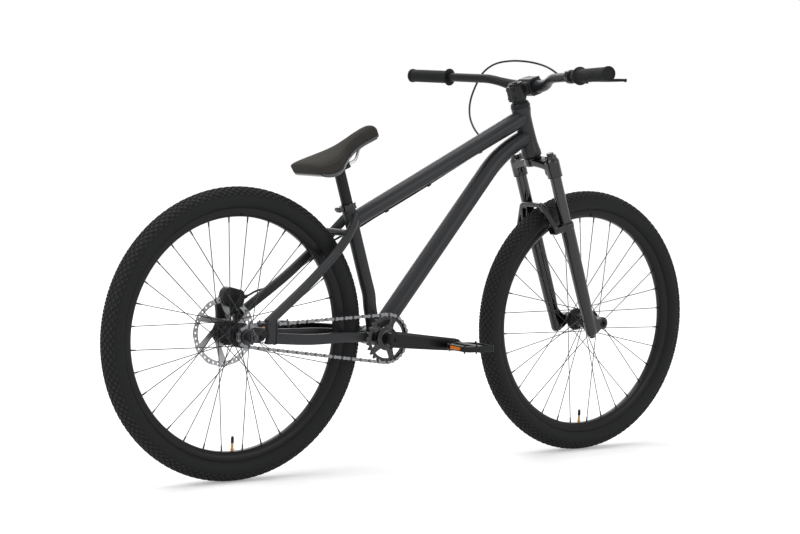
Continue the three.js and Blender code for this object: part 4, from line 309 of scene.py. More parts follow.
def at(place):
    """The matrix, in metres, that moves a piece drawn round the origin to a place"""
    return Matrix.Translation(Vector(place) / 1000)


def frame_of(across, side, up, place):
    """The matrix, in metres, that puts a piece drawn in its own frame into the bike's frame"""
    return at(place) @ Matrix((across, side, up)).transposed().to_4x4()


HERE = Matrix.Identity(4)
MIRROR = Matrix.Diagonal((1, -1, 1, 1))
AHEAD = Vector((1, 0, 0))
ACROSS = Vector((0, 1, 0))
on_steering = frame_of(head_forward, ACROSS, head_up, steering_foot)


def about_axle(place):
    """For pieces turned about an axle: their own height runs out to the bike's left"""
    return frame_of(AHEAD, Vector((0, 0, -1)), ACROSS, place)


on_axle = about_axle((0, 0, 0))


def placed(obj, matrix):
    obj.data.transform(matrix)
    if matrix.determinant() < 0:
        obj.data.flip_normals()
    return obj


def turned(name, profile, matrix=HERE, steps=64, edge=0.0):
    """A piece turned on a lathe, from a closed profile of radius and height"""
    bpy.ops.mesh.primitive_circle_add(vertices=len(profile))
    piece = bpy.context.object
    piece.name = name
    for corner, (radius, height) in zip(piece.data.vertices, profile):
        corner.co = (radius / 1000, 0, height / 1000)
    bpy.ops.object.mode_set(mode="EDIT")
    bpy.ops.mesh.select_all(action="SELECT")
    bpy.ops.mesh.spin(steps=steps, angle=2 * math.pi, center=(0, 0, 0), axis=(0, 0, 1))
    bpy.ops.mesh.select_all(action="SELECT")
    bpy.ops.mesh.remove_doubles(threshold=2e-6)
    bpy.ops.mesh.dissolve_degenerate(threshold=1e-6)
    bpy.ops.mesh.select_all(action="SELECT")
    bpy.ops.mesh.normals_make_consistent(inside=False)
    bpy.ops.object.mode_set(mode="OBJECT")
    if edge:
        rounded(piece, edge)
    return smooth(placed(piece, matrix))


def modified(obj, kind, **settings):
    """Applies one modifier to a piece"""
    bpy.context.view_layer.objects.active = obj
    modifier = obj.modifiers.new("change", kind)
    for setting, value in settings.items():
        setattr(modifier, setting, value)
    bpy.ops.object.modifier_apply(modifier="change")
    return obj


def rounded(obj, width, segments=2):
    """Breaks the sharp edges of a piece, as a cutter or a casting does"""
    return modified(obj, "BEVEL", width=width / 1000, segments=segments, limit_method="ANGLE",
                    angle_limit=math.radians(30))


def as_one(name, *pieces):
    bpy.ops.object.select_all(action="DESELECT")
    for piece in pieces:
        piece.select_set(True)
    bpy.context.view_layer.objects.active = pieces[0]
    bpy.ops.object.join()
    pieces[0].name = name
    return pieces[0]


def painted(obj, *nodes):
    """A piece of the welded frame in its paint"""
    return fit(obj, paint, "frame", *nodes, slot="frame_paint")


def both_halves(half):
    """An outline made whole by its mirror image, without doubling the points on the middle line"""
    return half + [(a, -b) for a, b in reversed(half) if b]


head_tube = turned("head_tube_skin", [
    (24.5, 460.4), (24.5, 468), (24.2, 470), (22.8, 478), (21.3, 490), (20.5, 510), (20.3, 535),
    (20.5, 556), (21.6, 566), (23.4, 574), (24, 576.5), (24, 584.6), (23.6, 585), (21.4, 585), (21.4, 572),
    (17.9, 572), (17.9, 473), (21.4, 473), (21.4, 460), (24.1, 460)], on_steering, 72)
painted(head_tube, "head_tube")

seat_up = Vector((-math.cos(math.radians(71.9)), 0, math.sin(math.radians(71.9))))


def seat_line(height, side=0):
    place = Vector((-31.6, 0, 131.5)) + (height - 131.5) / seat_up.z * seat_up
    return Vector((place.x, side, place.z))


seat_tube_top = seat_line(310)
seat_tube_line = flowing([(-5, 0, 14), (-10, 0, 40), (-17, 0, 70), seat_line(100), seat_line(130)], 5)
seat_tube = drawn("seat_tube_skin", [*seat_tube_line, seat_line(220), seat_tube_top], 15.9, 32)
painted(seat_tube, "seat_tube")

shell_half = [(17.5, 34), (20.8, 34), (21.5, 33)]
shell = turned("bottom_bracket_shell_skin", both_halves(shell_half), on_axle, 64)
painted(shell, "bottom_bracket_shell")

top_start = seat_line(272)
top_end = steering_foot + 559 * head_up
top_shares = [0, 0.3, 0.6, 0.82, 0.92, 1]
top_tube = drawn("top_tube_skin", [top_start.lerp(top_end, s) for s in top_shares], 21.8, 36,
                 [0.853, 0.885, 0.915, 0.955, 0.985, 1])
down_straight = Vector((322, 0, 396))
down_bend = [down_straight, Vector((366, 0, 449)), steering_foot + 510 * head_up]
down_curve = [(1 - t) ** 2 * down_bend[0] + 2 * t * (1 - t) * down_bend[1] + t * t * down_bend[2]
              for t in (k / 14 for k in range(15))]
down_line = [down_straight * (k / 8) for k in range(8)] + down_curve
down_tube = drawn("down_tube_skin", down_line, 22.3, 36, [1] * 12 + [1 - 0.08 * k / 10 for k in range(11)])
painted(down_tube, "down_tube")


def weld(start, along, radius, other, other_along, other_radius, near, ripples=44):
    """A rippled bead where a tube meets another one, drawn round the line that both skins share"""
    along, other_along = along.normalized(), other_along.normalized()
    sideways = along.cross(Vector((0.3, 0.9, 0.2))).normalized()
    upright = along.cross(sideways)
    line, shares = [], []
    for k in range(4 * ripples):
        angle = k / (4 * ripples) * 2 * math.pi
        base = start + radius * (math.cos(angle) * sideways + math.sin(angle) * upright)
        gap = base - other
        a = along - along.dot(other_along) * other_along
        b = gap - gap.dot(other_along) * other_along
        inside = a.dot(b) ** 2 - a.dot(a) * (b.dot(b) - other_radius ** 2)
        if inside < 0:
            continue
        reach = (-a.dot(b) + near * math.sqrt(inside)) / a.dot(a)
        line.append(base + reach * along)
        shares.append((1, 1.14, 1, 0.86)[k % 4])
    return drawn("weld", line, 2.1, 8, shares, closed=True)


top_along = top_end - top_start
down_along = (down_bend[2] - down_bend[1]).normalized()
beads = [
    weld(top_start, top_along, 21.6, steering_foot, head_up, 21.4, -1),
    weld(top_start, top_along, 18.7, top_start, seat_up, 15.9, 1, ripples=38),
    weld(down_bend[1], down_along, 20.6, steering_foot, head_up, 21.2, -1),
    weld(Vector(), down_straight, 22.3, Vector(), ACROSS, 21.5, 1, ripples=40),
    weld(Vector((-5, 0, 0)), Vector((-6, 0, 60)), 15.9, Vector(), ACROSS, 21.5, 1, ripples=30)]
painted(as_one("frame_welds", *beads))

# Stays: two tapered chainstays of rounded box section and two seatstays of oval section, bowed wide of
# the tyre, with a short bridge tube between the seatstays. All are welded on and painted with the frame.
SIDE_VIEW = Matrix(((1, 0, 0, 0), (0, 0, 1, 0), (0, 1, 0, 0), (0, 0, 0, 1)))


def second(name, obj):
    """The same piece once more, for the other wheel or the other side"""
    other = obj.copy()
    other.data = obj.data.copy()
    other.name = name
    bpy.context.scene.collection.objects.link(other)
    return other


def mirrored(name, obj):
    return placed(second(name, obj), MIRROR)


chainstay_line = flowing([(-10, 20, 0), (-60, 36, 3.5), (-120, 51, 7), (-225, 63, 7), (-330, 71, 14.6)], 8)
chainstay_end = len(chainstay_line) - 1
chainstay_left = drawn("chainstay_left_skin", chainstay_line, section=(7.5, 12.5, 0.55),
                       shares=[0.85 + 0.15 * math.sqrt(k / chainstay_end) for k in range(chainstay_end + 1)])
chainstay_right = mirrored("chainstay_right_skin", chainstay_left)
painted(chainstay_left, "chainstay_left")
painted(chainstay_right, "chainstay_right")

seatstay_line = flowing([(-342, 71, 49), (-217, 57, 143), (-148, 49, 204), (-108, 36, 243),
                         seat_line(280, 18), seat_line(283, 8)], 8)
seatstay_left = drawn("seatstay_left_skin", seatstay_line, section=(9.2, 11, 0.85))
seatstay_right = mirrored("seatstay_right_skin", seatstay_left)
painted(seatstay_right, "seatstay_right")
bridge = drawn("bridge", [Vector((-117, y, 247)) for y in (-40, -13, 13, 40)], 8, 20)


def flat_plate(name, outline, low, high, matrix, edge=0.0, segments=2):
    """A plate cut to an outline, between two depths of its own frame, with its edges broken"""
    low, high = sorted((low, high))
    bpy.ops.mesh.primitive_circle_add(vertices=len(outline), fill_type="NGON")
    made = bpy.context.object
    made.name = name
    for corner, (a, b) in zip(made.data.vertices, outline):
        corner.co = (a / 1000, b / 1000, low / 1000)
    bpy.ops.object.mode_set(mode="EDIT")
    bpy.ops.mesh.select_all(action="SELECT")
    bpy.ops.mesh.extrude_region_move(TRANSFORM_OT_translate={"value": (0, 0, (high - low) / 1000)})
    bpy.ops.mesh.select_all(action="SELECT")
    bpy.ops.mesh.normals_make_consistent(inside=False)
    bpy.ops.object.mode_set(mode="OBJECT")
    if edge:
        rounded(made, edge, segments)
    return smooth(placed(made, matrix))


def cut_away(obj, *tools):
    tool = as_one("tool", *tools)
    modified(obj, "BOOLEAN", operation="DIFFERENCE", solver="EXACT", object=tool)
    drop(tool)
    return smooth(obj)


def peg(start, end, radius, sides=32, end_radius=None):
    """A round bar between two places, for pins, bolts, bosses and drills"""
    start, end = Vector(start), Vector(end)
    along = end - start
    bpy.ops.mesh.primitive_cone_add(vertices=sides, radius1=radius / 1000,
                                    radius2=(radius if end_radius is None else end_radius) / 1000,
                                    depth=along.length / 1000)
    made = bpy.context.object
    made.data.transform(at((start + end) / 2) @ along.to_track_quat("Z", "Y").to_matrix().to_4x4())
    return smooth(made)


def rod(foot, along, start, end, radius, sides=32):
    """A round bar between two distances along a line from its foot"""
    return peg(Vector(foot) + start * along, Vector(foot) + end * along, radius, sides)


def socket_head(foot, along, head, recess, sides=24, edge=0.6):
    """A bolt head with a hex recess, each by its start, end and radius along a line from the foot"""
    return cut_away(rounded(rod(foot, along, *head, sides), edge), rod(foot, along, *recess, 6))


def slab(low, high, matrix=HERE, edge=0.0, segments=2):
    """A block between two opposite corners"""
    bpy.ops.mesh.primitive_cube_add(size=1)
    made = bpy.context.object
    low, high = Vector(map(min, low, high)), Vector(map(max, low, high))
    made.data.transform(at((low + high) / 2) @ Matrix.Diagonal((*((high - low) / 1000), 1)))
    if edge:
        rounded(made, edge, segments)
    return smooth(placed(made, matrix))


# Rear dropouts: forged steel plates with a level slot for the axle. In front each one thickens into a
# hooded lug that both stays run into, with a raised seam round its mouth. The left one carries the brake.
at_rear_axle = at(REAR_AXLE) @ SIDE_VIEW
dropout_edge = [(-12.8, -11.2), (-8, -14.6), (0, -16), (30, -16), (58, -16), (58, 10), (58, 36), (46, 37),
                (36, 34), (29, 26), (23, 18.5), (15.1, 16), (0, 16), (-8, 14.6), (-12.8, 11.2),
                (-16.4, 6), (-17.4, 0), (-16.4, -6)]
dropout_left = flat_plate("dropout_left_skin", dropout_edge, 67.5, 74.5, at_rear_axle, 1.2)
cut_away(dropout_left, rod(REAR_AXLE, ACROSS, 55, 90, 5.4),
         slab(REAR_AXLE + Vector((0.01, 60, -5.38)), REAR_AXLE + Vector((24, 85, 5.38))))
hood = flat_plate("hood", [(35.5, -16.5), (60, -16.5), (61.5, 10), (60, 37), (44, 38.5), (35.5, 33),
                           (37, 20), (41.5, 3)], 62.8, 79.2, at_rear_axle, 3, 4)
hood_seam = drawn("seam", [REAR_AXLE + Vector(p) for p in (
    (59.5, 80, -15), (60.8, 80, 0), (60.8, 80, 12), (59.8, 80, 24), (58.5, 78.5, 36), (58, 71, 39.5),
    (58.5, 63.5, 36), (59.8, 62, 24), (60.8, 62, 12), (60.8, 62, 0), (59.5, 62, -15),
    (58.5, 71, -17.5))], 1.6, 8, closed=True)
dropout_left = as_one("dropout_left_skin", dropout_left, hood, hood_seam)
dropout_right = mirrored("dropout_right_skin", dropout_left)
painted(dropout_right, "dropout_right")
CALIPER_ANGLE = math.radians(76)
on_caliper = frame_of(Vector((math.cos(CALIPER_ANGLE), 0, math.sin(CALIPER_ANGLE))), ACROSS,
                      Vector((-math.sin(CALIPER_ANGLE), 0, math.cos(CALIPER_ANGLE))),
                      REAR_AXLE + 52 * ACROSS)
lugs_half = [(4, -11), (40, -22), (60, -30), (66, -31), (72, -28), (74, -23), (71, -17), (62, -9), (58, 0)]
brake_lugs = flat_plate("lugs", both_halves(lugs_half), 15.3, 21.3, on_caliper @ SIDE_VIEW, 1.2, 3)
dropout_left = as_one("dropout_left_skin", dropout_left, brake_lugs)
painted(dropout_left, "dropout_left")

# Hose guides: small steel loops brazed under the top tube and on the left seatstay, round the hose.
frame_hose_run = [0]
for here, there in zip(frame_hose_line, frame_hose_line[1:]):
    frame_hose_run.append(frame_hose_run[-1] + (there - here).length)


def guide(share, carrier_start, carrier_end):
    """A loop round the hose at a share of its way, with a foot down to its carrier's tube"""
    k = next(i for i, run in enumerate(frame_hose_run) if run >= share * frame_hose_run[-1])
    k = max(1, min(k, len(frame_hose_line) - 2))
    centre = frame_hose_line[k]
    along = (frame_hose_line[k + 1] - frame_hose_line[k - 1]).normalized()
    line = (carrier_end - carrier_start).normalized()
    foot = carrier_start + (centre - carrier_start).dot(line) * line
    out = (foot - centre).normalized()
    side = along.cross(out).normalized()
    on_hose = frame_of(side.cross(along), side, along, centre)
    loop = turned("loop", [(3.1, -4.5), (4.9, -4.5), (5.3, 0), (4.9, 4.5), (3.1, 4.5)], on_hose, 24, 0.4)
    reach = (foot - centre).length - 10
    return as_one("guide", loop, slab((3.6, -2.2, -3.6), (reach, 2.2, 3.6), on_hose, 0.6))


guides = [guide(share, top_start, top_end) for share in (0.012, 0.245, 0.43)]
stay_guide = guide(0.665, Vector((-217, 57, 143)), Vector((-108, 36, 243)))
top_tube = as_one("top_tube_skin", top_tube, *guides)
painted(top_tube, "top_tube")
seatstay_left = as_one("seatstay_left_skin", seatstay_left, bridge, stay_guide)
painted(seatstay_left, "seatstay_left")

# Bottom bracket: two black alloy cups with wrench notches, screwed into the shell on each side.
satin_black = finish("satin black", (26, 27, 29), 0.36, grain=0.05, size=20)


def around(radius, angle):
    """A place round an axle, seen from the side"""
    return Vector((radius * math.cos(angle), 0, radius * math.sin(angle)))


cup = turned("cup_left", [(13.2, 34.2), (17.2, 34.2), (20.8, 34.2), (22, 35), (22, 41.6), (21.2, 42.3),
                          (17, 42.3), (16.2, 41.4), (13.2, 41.4)], on_axle, 64)
cut_away(cup, *[rod(around(21.9, k / 8 * math.pi), ACROSS, 36.4, 45, 1.7, 12) for k in range(16)])
for word, piece in (("right", mirrored("cup_right", cup)), ("left", cup)):
    fit(piece, satin_black, "frame", f"bottom_bracket_cup_{word}", slot="satin_black")

# Wheels: a black rubber tyre with a low dense tread, on a black double wall alloy rim. Its 32 black
# steel spokes cross three times on their way to the flanges of the hub, and end in alloy nipples.
rubber = finish("tyre rubber", (24, 25, 26), 0.6, uneven=0.07, grain=0.12, size=14)
# The tread blocks take a lighter copy of the tyre rubber: painted light on the block tops, against the shaded
# gaps between them.
lit_tread_rubber = finish("tread rubber painted lighter", (40, 40, 41), 0.66, uneven=0.07, grain=0.12, size=14)
rim_black = finish("rim black", (24, 24, 26), 0.3, grain=0.04, size=20)
spoke_black = finish("spoke black", (32, 32, 34), 0.28, metallic=0.5, size=20)
brass = finish("brass", (176, 132, 74), 0.3, metallic=0.9, size=80)
CASING_CENTRE = 304.5
TREAD_STEPS = 118


def casing_point(angle, height):
    """A place on the tyre's skin, by its angle from the crown, and at a height off the skin"""
    return ((26.4 + height) * math.sin(angle), CASING_CENTRE + (25.4 + height) * math.cos(angle))


def tread_block(angle, turn, wide, long, high, lean=0.0):
    """One rubber block of the tread, with tapered sides, seated on the casing"""
    bpy.ops.mesh.primitive_cube_add(size=1)
    block = bpy.context.object
    bpy.ops.object.mode_set(mode="EDIT")
    bpy.ops.mesh.select_mode(type="FACE")
    bpy.ops.mesh.select_all(action="DESELECT")
    bpy.ops.object.mode_set(mode="OBJECT")
    for face in block.data.polygons:
        face.select = face.normal.z > 0.9
    bpy.ops.object.mode_set(mode="EDIT")
    bpy.ops.transform.resize(value=(0.78, 0.8, 1), center_override=(0, 0, 0.5))
    bpy.ops.object.mode_set(mode="OBJECT")
    y, r = casing_point(angle, high / 2 - 0.5)
    shape = Matrix.Diagonal((long / 1000, wide / 1000, (high + 1) / 1000, 1))
    block.data.transform(Matrix.Rotation(turn, 4, "Y") @ Matrix.Translation((0, y / 1000, r / 1000))
                         @ Matrix.Rotation(-angle, 4, "X") @ Matrix.Rotation(lean, 4, "Z") @ shape)
    return block


def spun_copies(obj, count):
    """Repeats a piece at even steps round the wheel's axle"""
    only(obj)
    bpy.ops.object.mode_set(mode="EDIT")
    bpy.ops.mesh.select_all(action="SELECT")
    bpy.ops.mesh.spin(steps=count - 1, dupli=True, angle=2 * math.pi * (count - 1) / count,
                      center=(0, 0, 0), axis=(0, 1, 0))
    bpy.ops.object.mode_set(mode="OBJECT")
    return obj


def tyre(name):
    """A casing with rows of square blocks that lean in turn, and a narrower row along each shoulder"""
    step = 2 * math.pi / TREAD_STEPS
    blocks = [tread_block(math.radians(a), 0, 5.6, 8.2, 2.3, lean)
              for a, lean in ((0, 0), (-26, 0.2), (26, -0.2), (-52, 0.2), (52, -0.2))]
    blocks += [tread_block(math.radians(a), step / 2, 5.6, 8.2, 2.3, lean)
               for a, lean in ((-13, -0.2), (13, 0.2), (-39, -0.2), (39, 0.2))]
    blocks += [tread_block(math.radians(a), step / 2, 4.2, 9.4, 2.0) for a in (-64.5, 64.5)]
    tread = spun_copies(as_one("tread", *blocks), TREAD_STEPS)
    side = [casing_point(math.radians(a), 0) for a in range(0, 100, 8)]
    half = [(r, y) for y, r in side] + [(294, 25.2), (289, 21), (286, 16.8), (285, 15.6), (284.9, 14.8),
                                        (284.9, 12.8), (279.9, 12.8)]
    casing = turned("casing", both_halves(half), on_axle, 160)
    give(rubber, casing)
    # Painted light: the blocks get the lighter copy of the casing's rubber.
    give(lit_tread_rubber, tread)
    return as_one(name, casing, tread)


def rim(name):
    """The hoop with its welded seam, and opposite it the valve with its cap"""
    half = [(280.4, 13.3), (284.4, 13.1), (284.8, 13.5), (284.8, 15.1), (284.3, 15.5), (279, 15.5),
            (274, 14.6), (269.5, 12), (266.2, 8.8), (264.7, 5.6)]
    hoop = turned("hoop", both_halves(half), on_axle, 160)
    seam = slab((-0.15, -15.6, 268), (0.15, 15.6, 284.6))
    stem, nut, cap, cap_end = [
        peg((0, 0, start), (0, 0, end), radius, sides) for start, end, radius, sides in (
            (-266, -236, 2.9, 16), (-262, -259.8, 5, 24), (-246, -233, 3.6, 16), (-233, -230.8, 2.4, 16))]
    give(rim_black, hoop, seam, cap, cap_end)
    give(brass, stem, nut)
    return as_one(name, hoop, seam, stem, nut, cap, cap_end)


def spoke_set(flange, side, lean):
    """Eight spokes that leave one flange the same way, each with its elbow, nipple and head"""
    step = 2 * math.pi / 16
    angle = ((0 if lean > 0 else 1) + side / 2 + 0.25) * step
    rim_angle = angle + lean * 3 * step
    out = math.copysign(1, flange)
    start = around(25.6, angle) + (flange + lean * out * 1.9) * ACROSS
    end = around(263, rim_angle) + out * (2.4 + lean * 1.2) * ACROSS
    along = (end - start).normalized()
    inward = -lean * out * ACROSS
    return spun_copies(as_one("spokes", peg(start, end, 1.05, 8), peg(start, start + 4.4 * inward, 1.1, 8),
                              peg(start + 4.2 * inward, start + 5.2 * inward, 1.9, 10),
                              peg(end + 2.4 * along, end - 11 * along, 2.1, 8, 1.6)), 8)


def hub(name, outline, flanges):
    """The turned hub shell with its spokes laced in"""
    barrel = turned("barrel", outline, on_axle, 64, 0.3)
    spokes = as_one("spokes", *[spoke_set(flange, side, lean)
                                for side, flange in enumerate(flanges) for lean in (1, -1)])
    give(satin_black, barrel)
    give(spoke_black, spokes)
    return as_one(name, barrel, spokes)


def flange_half(flange, barrel):
    """The outline of one flange, inner side last, from its outer face in to the barrel"""
    out = math.copysign(1, flange)
    return [(19, flange + out * 4.4), (22, flange + out * 2.4), (28, flange + out * 1.9),
            (28, flange - out * 1.9), (22, flange - out * 2.4), (barrel + 1, flange - out * 7),
            (barrel, flange - out * 12)]


rear_tyre = tyre("rear_tyre_skin")
front_tyre = second("front_tyre_skin", rear_tyre)
rear_rim = rim("rear_rim_skin")
front_rim = second("front_rim_skin", rear_rim)
front_half = [(11.4, 54.6), (14, 54.6), (15, 53.6), (15, 40), *flange_half(28, 16.5)]
front_hub = hub("front_hub_skin", both_halves(front_half), (-28, 28))
rear_hub = hub("rear_hub_skin", [
    (5.7, 55.4), (14.6, 55.4), (14.8, 51), (24.6, 50.7), (24.6, 46), (20, 44), (18, 40), *flange_half(32, 17),
    *reversed(flange_half(-22, 17)), (17.4, -26), (17.4, -28.2), (5.7, -28.2)], (-22, 32))
for end, axle, tyre_piece, rim_piece, hub_piece in (
        ("rear", REAR_AXLE, rear_tyre, rear_rim, rear_hub),
        ("front", FRONT_AXLE, front_tyre, front_rim, front_hub)):
    fit(placed(tyre_piece, at(axle)), None, f"{end}_wheel", f"{end}_tyre", slot="tyre_rubber")
    fit(placed(rim_piece, at(axle)), None, f"{end}_wheel", f"{end}_rim", slot="satin_black")
    fit(placed(hub_piece, at(axle)), None, f"{end}_wheel", f"{end}_hub", slot="satin_black")

# Rear axle: a steel bolt through the dropouts with a spacer inside and a flanged hex nut outside each of
# them. Under each nut a black steel tug plate is drawn back by its own bolt, to set the chain tension.
dark_steel = finish("dark steel", (66, 66, 68), 0.36, metallic=0.8, grain=0.04, size=40)
bright_steel = finish("bright steel", (186, 188, 191), 0.27, metallic=0.95, size=60)
axle_pieces = [peg((0, -90.5, 0), (0, 90.5, 0), 4.9, 24)]
for side, shoulder in ((-1, 59.6), (1, 56.2)):
    axle_pieces.append(peg((0, side * shoulder, 0), (0, side * 67.2, 0), 9, 32))
    axle_pieces.append(peg((0, side * 78.1, 0), (0, side * 80.2, 0), 11.4, 32))
    axle_pieces.append(rounded(peg((0, side * 80.2, 0), (0, side * 86.4, 0), 10.3, 6), 0.7))
    axle_pieces += [peg((0, side * y, 0), (0, side * (y + 0.7), 0), 5.1, 20) for y in (87.2, 88.6, 90)]
fit(placed(as_one("rear_axle_skin", *axle_pieces), at(REAR_AXLE)), dark_steel, "frame",
    "rear_axle", slot="dark_steel")
tug_half = [(-12, -8), (-6, -11), (12, -11), (26, -8), (30, -3.5)]
tug = flat_plate("tug", both_halves(tug_half), 74.8, 77.8, at_rear_axle, 0.8)
cut_away(tug, rod(REAR_AXLE, ACROSS, 70, 82, 5.4))
tug_bolt = socket_head(REAR_AXLE + 22 * AHEAD, ACROSS, (77, 81, 4), (79, 83, 2), 32, 0.5)
tug_left = as_one("tug_left", tug, tug_bolt)
for word, piece in (("right", mirrored("tug_right", tug_left)), ("left", tug_left)):
    fit(piece, satin_black, "frame", f"chain_tensioner_{word}", slot="satin_black")

# Chain: 80 half inch links, narrow and wide in turn. Each is two pressed plates with a waist, and the
# links turn on riveted pins with hard rollers. It runs from the chainring round the cog.
PITCH = 12.7
LINKS = 80
RING_TEETH = 28
COG_TEETH = 11
RING_STEP = 2 * math.pi / RING_TEETH
COG_STEP = 2 * math.pi / COG_TEETH
RING_RADIUS = PITCH / (2 * math.sin(RING_STEP / 2))
COG_RADIUS = PITCH / (2 * math.sin(COG_STEP / 2))
CHAIN_Y = -50
centres = math.hypot(REAR_AXLE.x, REAR_AXLE.z)
wrap = math.acos((RING_RADIUS - COG_RADIUS) / centres)
drive_slope = math.atan2(REAR_AXLE.z, REAR_AXLE.x)
ring_links = (2 * math.pi - 2 * wrap) / RING_STEP
run_links = math.sqrt(centres ** 2 - (RING_RADIUS - COG_RADIUS) ** 2) / PITCH
cog_links = 2 * wrap / COG_STEP


def pin_place(link):
    """Where a pin sits: round the ring, along the lower run, round the cog or along the upper run"""
    on_cog = link - ring_links - run_links
    if link < ring_links:
        place = around(RING_RADIUS, wrap + link * RING_STEP)
    elif 0 <= on_cog < cog_links:
        place = centres * AHEAD + around(COG_RADIUS, on_cog * COG_STEP - wrap)
    else:
        side = wrap if on_cog > 0 else -wrap
        share = 1 - (on_cog - cog_links) / run_links if on_cog > 0 else (link - ring_links) / run_links
        place = around(RING_RADIUS, side).lerp(centres * AHEAD + around(COG_RADIUS, side), share)
    return Matrix.Rotation(-drive_slope, 3, "Y") @ place + CHAIN_Y * ACROSS


plate_edge = []
for end in (-1, 1):
    for k in range(9):
        angle = (math.pi / 2 if end < 0 else -math.pi / 2) + k / 8 * math.pi
        plate_edge.append((end * PITCH / 2 + 4.1 * math.cos(angle), 4.1 * math.sin(angle)))
    plate_edge.append((0, 2.2 * end))


def link_pieces(half):
    """The two plates of a link, at a distance from the middle of the chain"""
    return [flat_plate("plate", plate_edge, low, low + 1, SIDE_VIEW) for low in (-half - 1, half)]


chain_steel = finish("chain steel", (126, 127, 129), 0.3, metallic=0.9, grain=0.04, size=40)
narrow_link = as_one("narrow_link", *link_pieces(1.7), *[
    peg((x, -1.7, 0), (x, 1.7, 0), 3.2, 16) for x in (-PITCH / 2, PITCH / 2)])
wide_link = as_one("wide_link", *link_pieces(2.8), *[
    peg((x, -4.2, 0), (x, 4.2, 0), 1.8, 12) for x in (-PITCH / 2, PITCH / 2)])
give(dark_steel, narrow_link)
give(chain_steel, wide_link)
links = []
for number in range(LINKS):
    here, there = pin_place(number), pin_place((number + 1) % LINKS)
    along = (there - here).normalized()
    link = second("link", narrow_link if number % 2 == 0 else wide_link)
    link.data.transform(frame_of(along, ACROSS, along.cross(ACROSS), (here + there) / 2))
    links.append(link)
drop(narrow_link)
drop(wide_link)
fit(as_one("chain_links", *links), None, "frame", "chain", slot="dark_steel")


def toothed(name, teeth, radius, phase, root_drop, low, high):
    """A toothed wheel, with a round valley for the rollers between its teeth"""
    outline = []
    step = 2 * math.pi / teeth
    for k in range(teeth):
        middle = phase + (k + 0.5) * step
        for share, rise in ((-0.5, -root_drop), (-0.36, 0.35 - root_drop), (-0.27, -1.3), (-0.2, 0.8),
                            (-0.1, 2.4), (0.1, 2.4), (0.2, 0.8), (0.27, -1.3), (0.36, 0.35 - root_drop)):
            outline.append(((radius + rise) * math.cos(middle + share * step),
                            (radius + rise) * math.sin(middle + share * step)))
    return flat_plate(name, outline, low, high, SIDE_VIEW, 0.35)


first_on_cog = math.ceil(ring_links + run_links)
cog_phase = (first_on_cog - ring_links - run_links) * COG_STEP - wrap + drive_slope
cog = toothed("cog", COG_TEETH, COG_RADIUS, cog_phase, 3.6, -51.2, -48.8)
driver = turned("driver", [(7, -58.8), (15.2, -58.8), (16, -58), (16, -52.6), (14.6, -52.2), (14.6, -47.6),
                           (16, -47.2), (16, -29.4), (7, -29.4)], on_axle, 48)
fit(placed(as_one("rear_cog_skin", cog, driver), at(REAR_AXLE)), dark_steel, "cog", "rear_cog",
    slot="dark_steel")

# Crankset: forged and polished black alloy arms on a hollow steel axle, each held by a bolt with a hex
# recess. The machined chainring has five windows and a conical dish that fits over the arm's boss.
gloss_black = finish("gloss black", (13, 13, 14), 0.13, uneven=0.04, size=12, coat=0.7)
crank_black = finish("polished crank", (15, 15, 16), 0.3, uneven=0.05, size=12, coat=0.12)
CRANK_TURN = math.radians(5.5)
CRANK_LENGTH = 175
on_crank = Matrix.Rotation(CRANK_TURN, 4, "Y")
ring = toothed("ring", RING_TEETH, RING_RADIUS, wrap + drive_slope, 3.8, -51.2, -48.8)


def window_cutters(count, outer, inner, low, high, edge, segments):
    """Cutters for a ring of windows. An arc has a radius, a start and sweep in windows, and its steps"""
    cutters = []
    for k in range(count):
        corners = [(radius, (k + start + sweep * s / steps) * 2 * math.pi / count)
                   for radius, start, sweep, steps in (outer, inner) for s in range(steps + 1)]
        cutters.append(flat_plate("window", [(r * math.cos(a), r * math.sin(a)) for r, a in corners],
                                  low, high, SIDE_VIEW, edge, segments))
    return cutters


windows = window_cutters(5, (46, 0.12, 0.76, 8), (28.5, 0.76, -0.52, 5), -60, -40, 2, 3)
cut_away(ring, *windows, peg((0, -60, 0), (0, -40, 0), 19, 48))
dish = turned("dish", [(12.6, -56.8), (20, -56.8), (21, -56.2), (22, -54.8), (27.4, -51.6), (28, -50),
                       (27.4, -48.4), (21, -43.8), (12.6, -43.6)], on_axle, 80)
ring_face = turned("face", [(46, -51.9), (48.4, -51.9), (49, -51.3), (49, -48.7), (48.4, -48.1),
                            (46, -48.1)], on_axle, 96)
fit(as_one("chainring_skin", ring, dish, ring_face), gloss_black, "crankset", "chainring",
    slot="satin_black")


def narrowing(line, loss):
    """Each place's share of the thickness, for a bar that loses some of it evenly on the way"""
    return [1 - loss * k / (len(line) - 1) for k in range(len(line))]


arm_line = flowing([(0, 71, 0), (58, 79, 0), (117, 87, 0), (CRANK_LENGTH, 87, 0)], 8)
arm = drawn("arm", arm_line, section=(7.8, 19.5, 0.4), shares=narrowing(arm_line, 0.24))
eye = peg((CRANK_LENGTH, 80, 0), (CRANK_LENGTH, 94, 0), 14, 48)
boss = peg((0, 57.3, 0), (0, 79, 0), 18, 48)


def cast(name, grid, rounds, *pieces, keep=0.5):
    """Several closed shapes melted into one piece with soft inner corners, as a casting or forging is"""
    whole = as_one(name, *pieces)
    modified(whole, "REMESH", mode="VOXEL", voxel_size=grid / 1000)
    modified(whole, "SMOOTH", factor=0.5, iterations=rounds)
    modified(whole, "DECIMATE", ratio=keep)
    only(whole)
    bpy.ops.object.shade_smooth()
    return whole


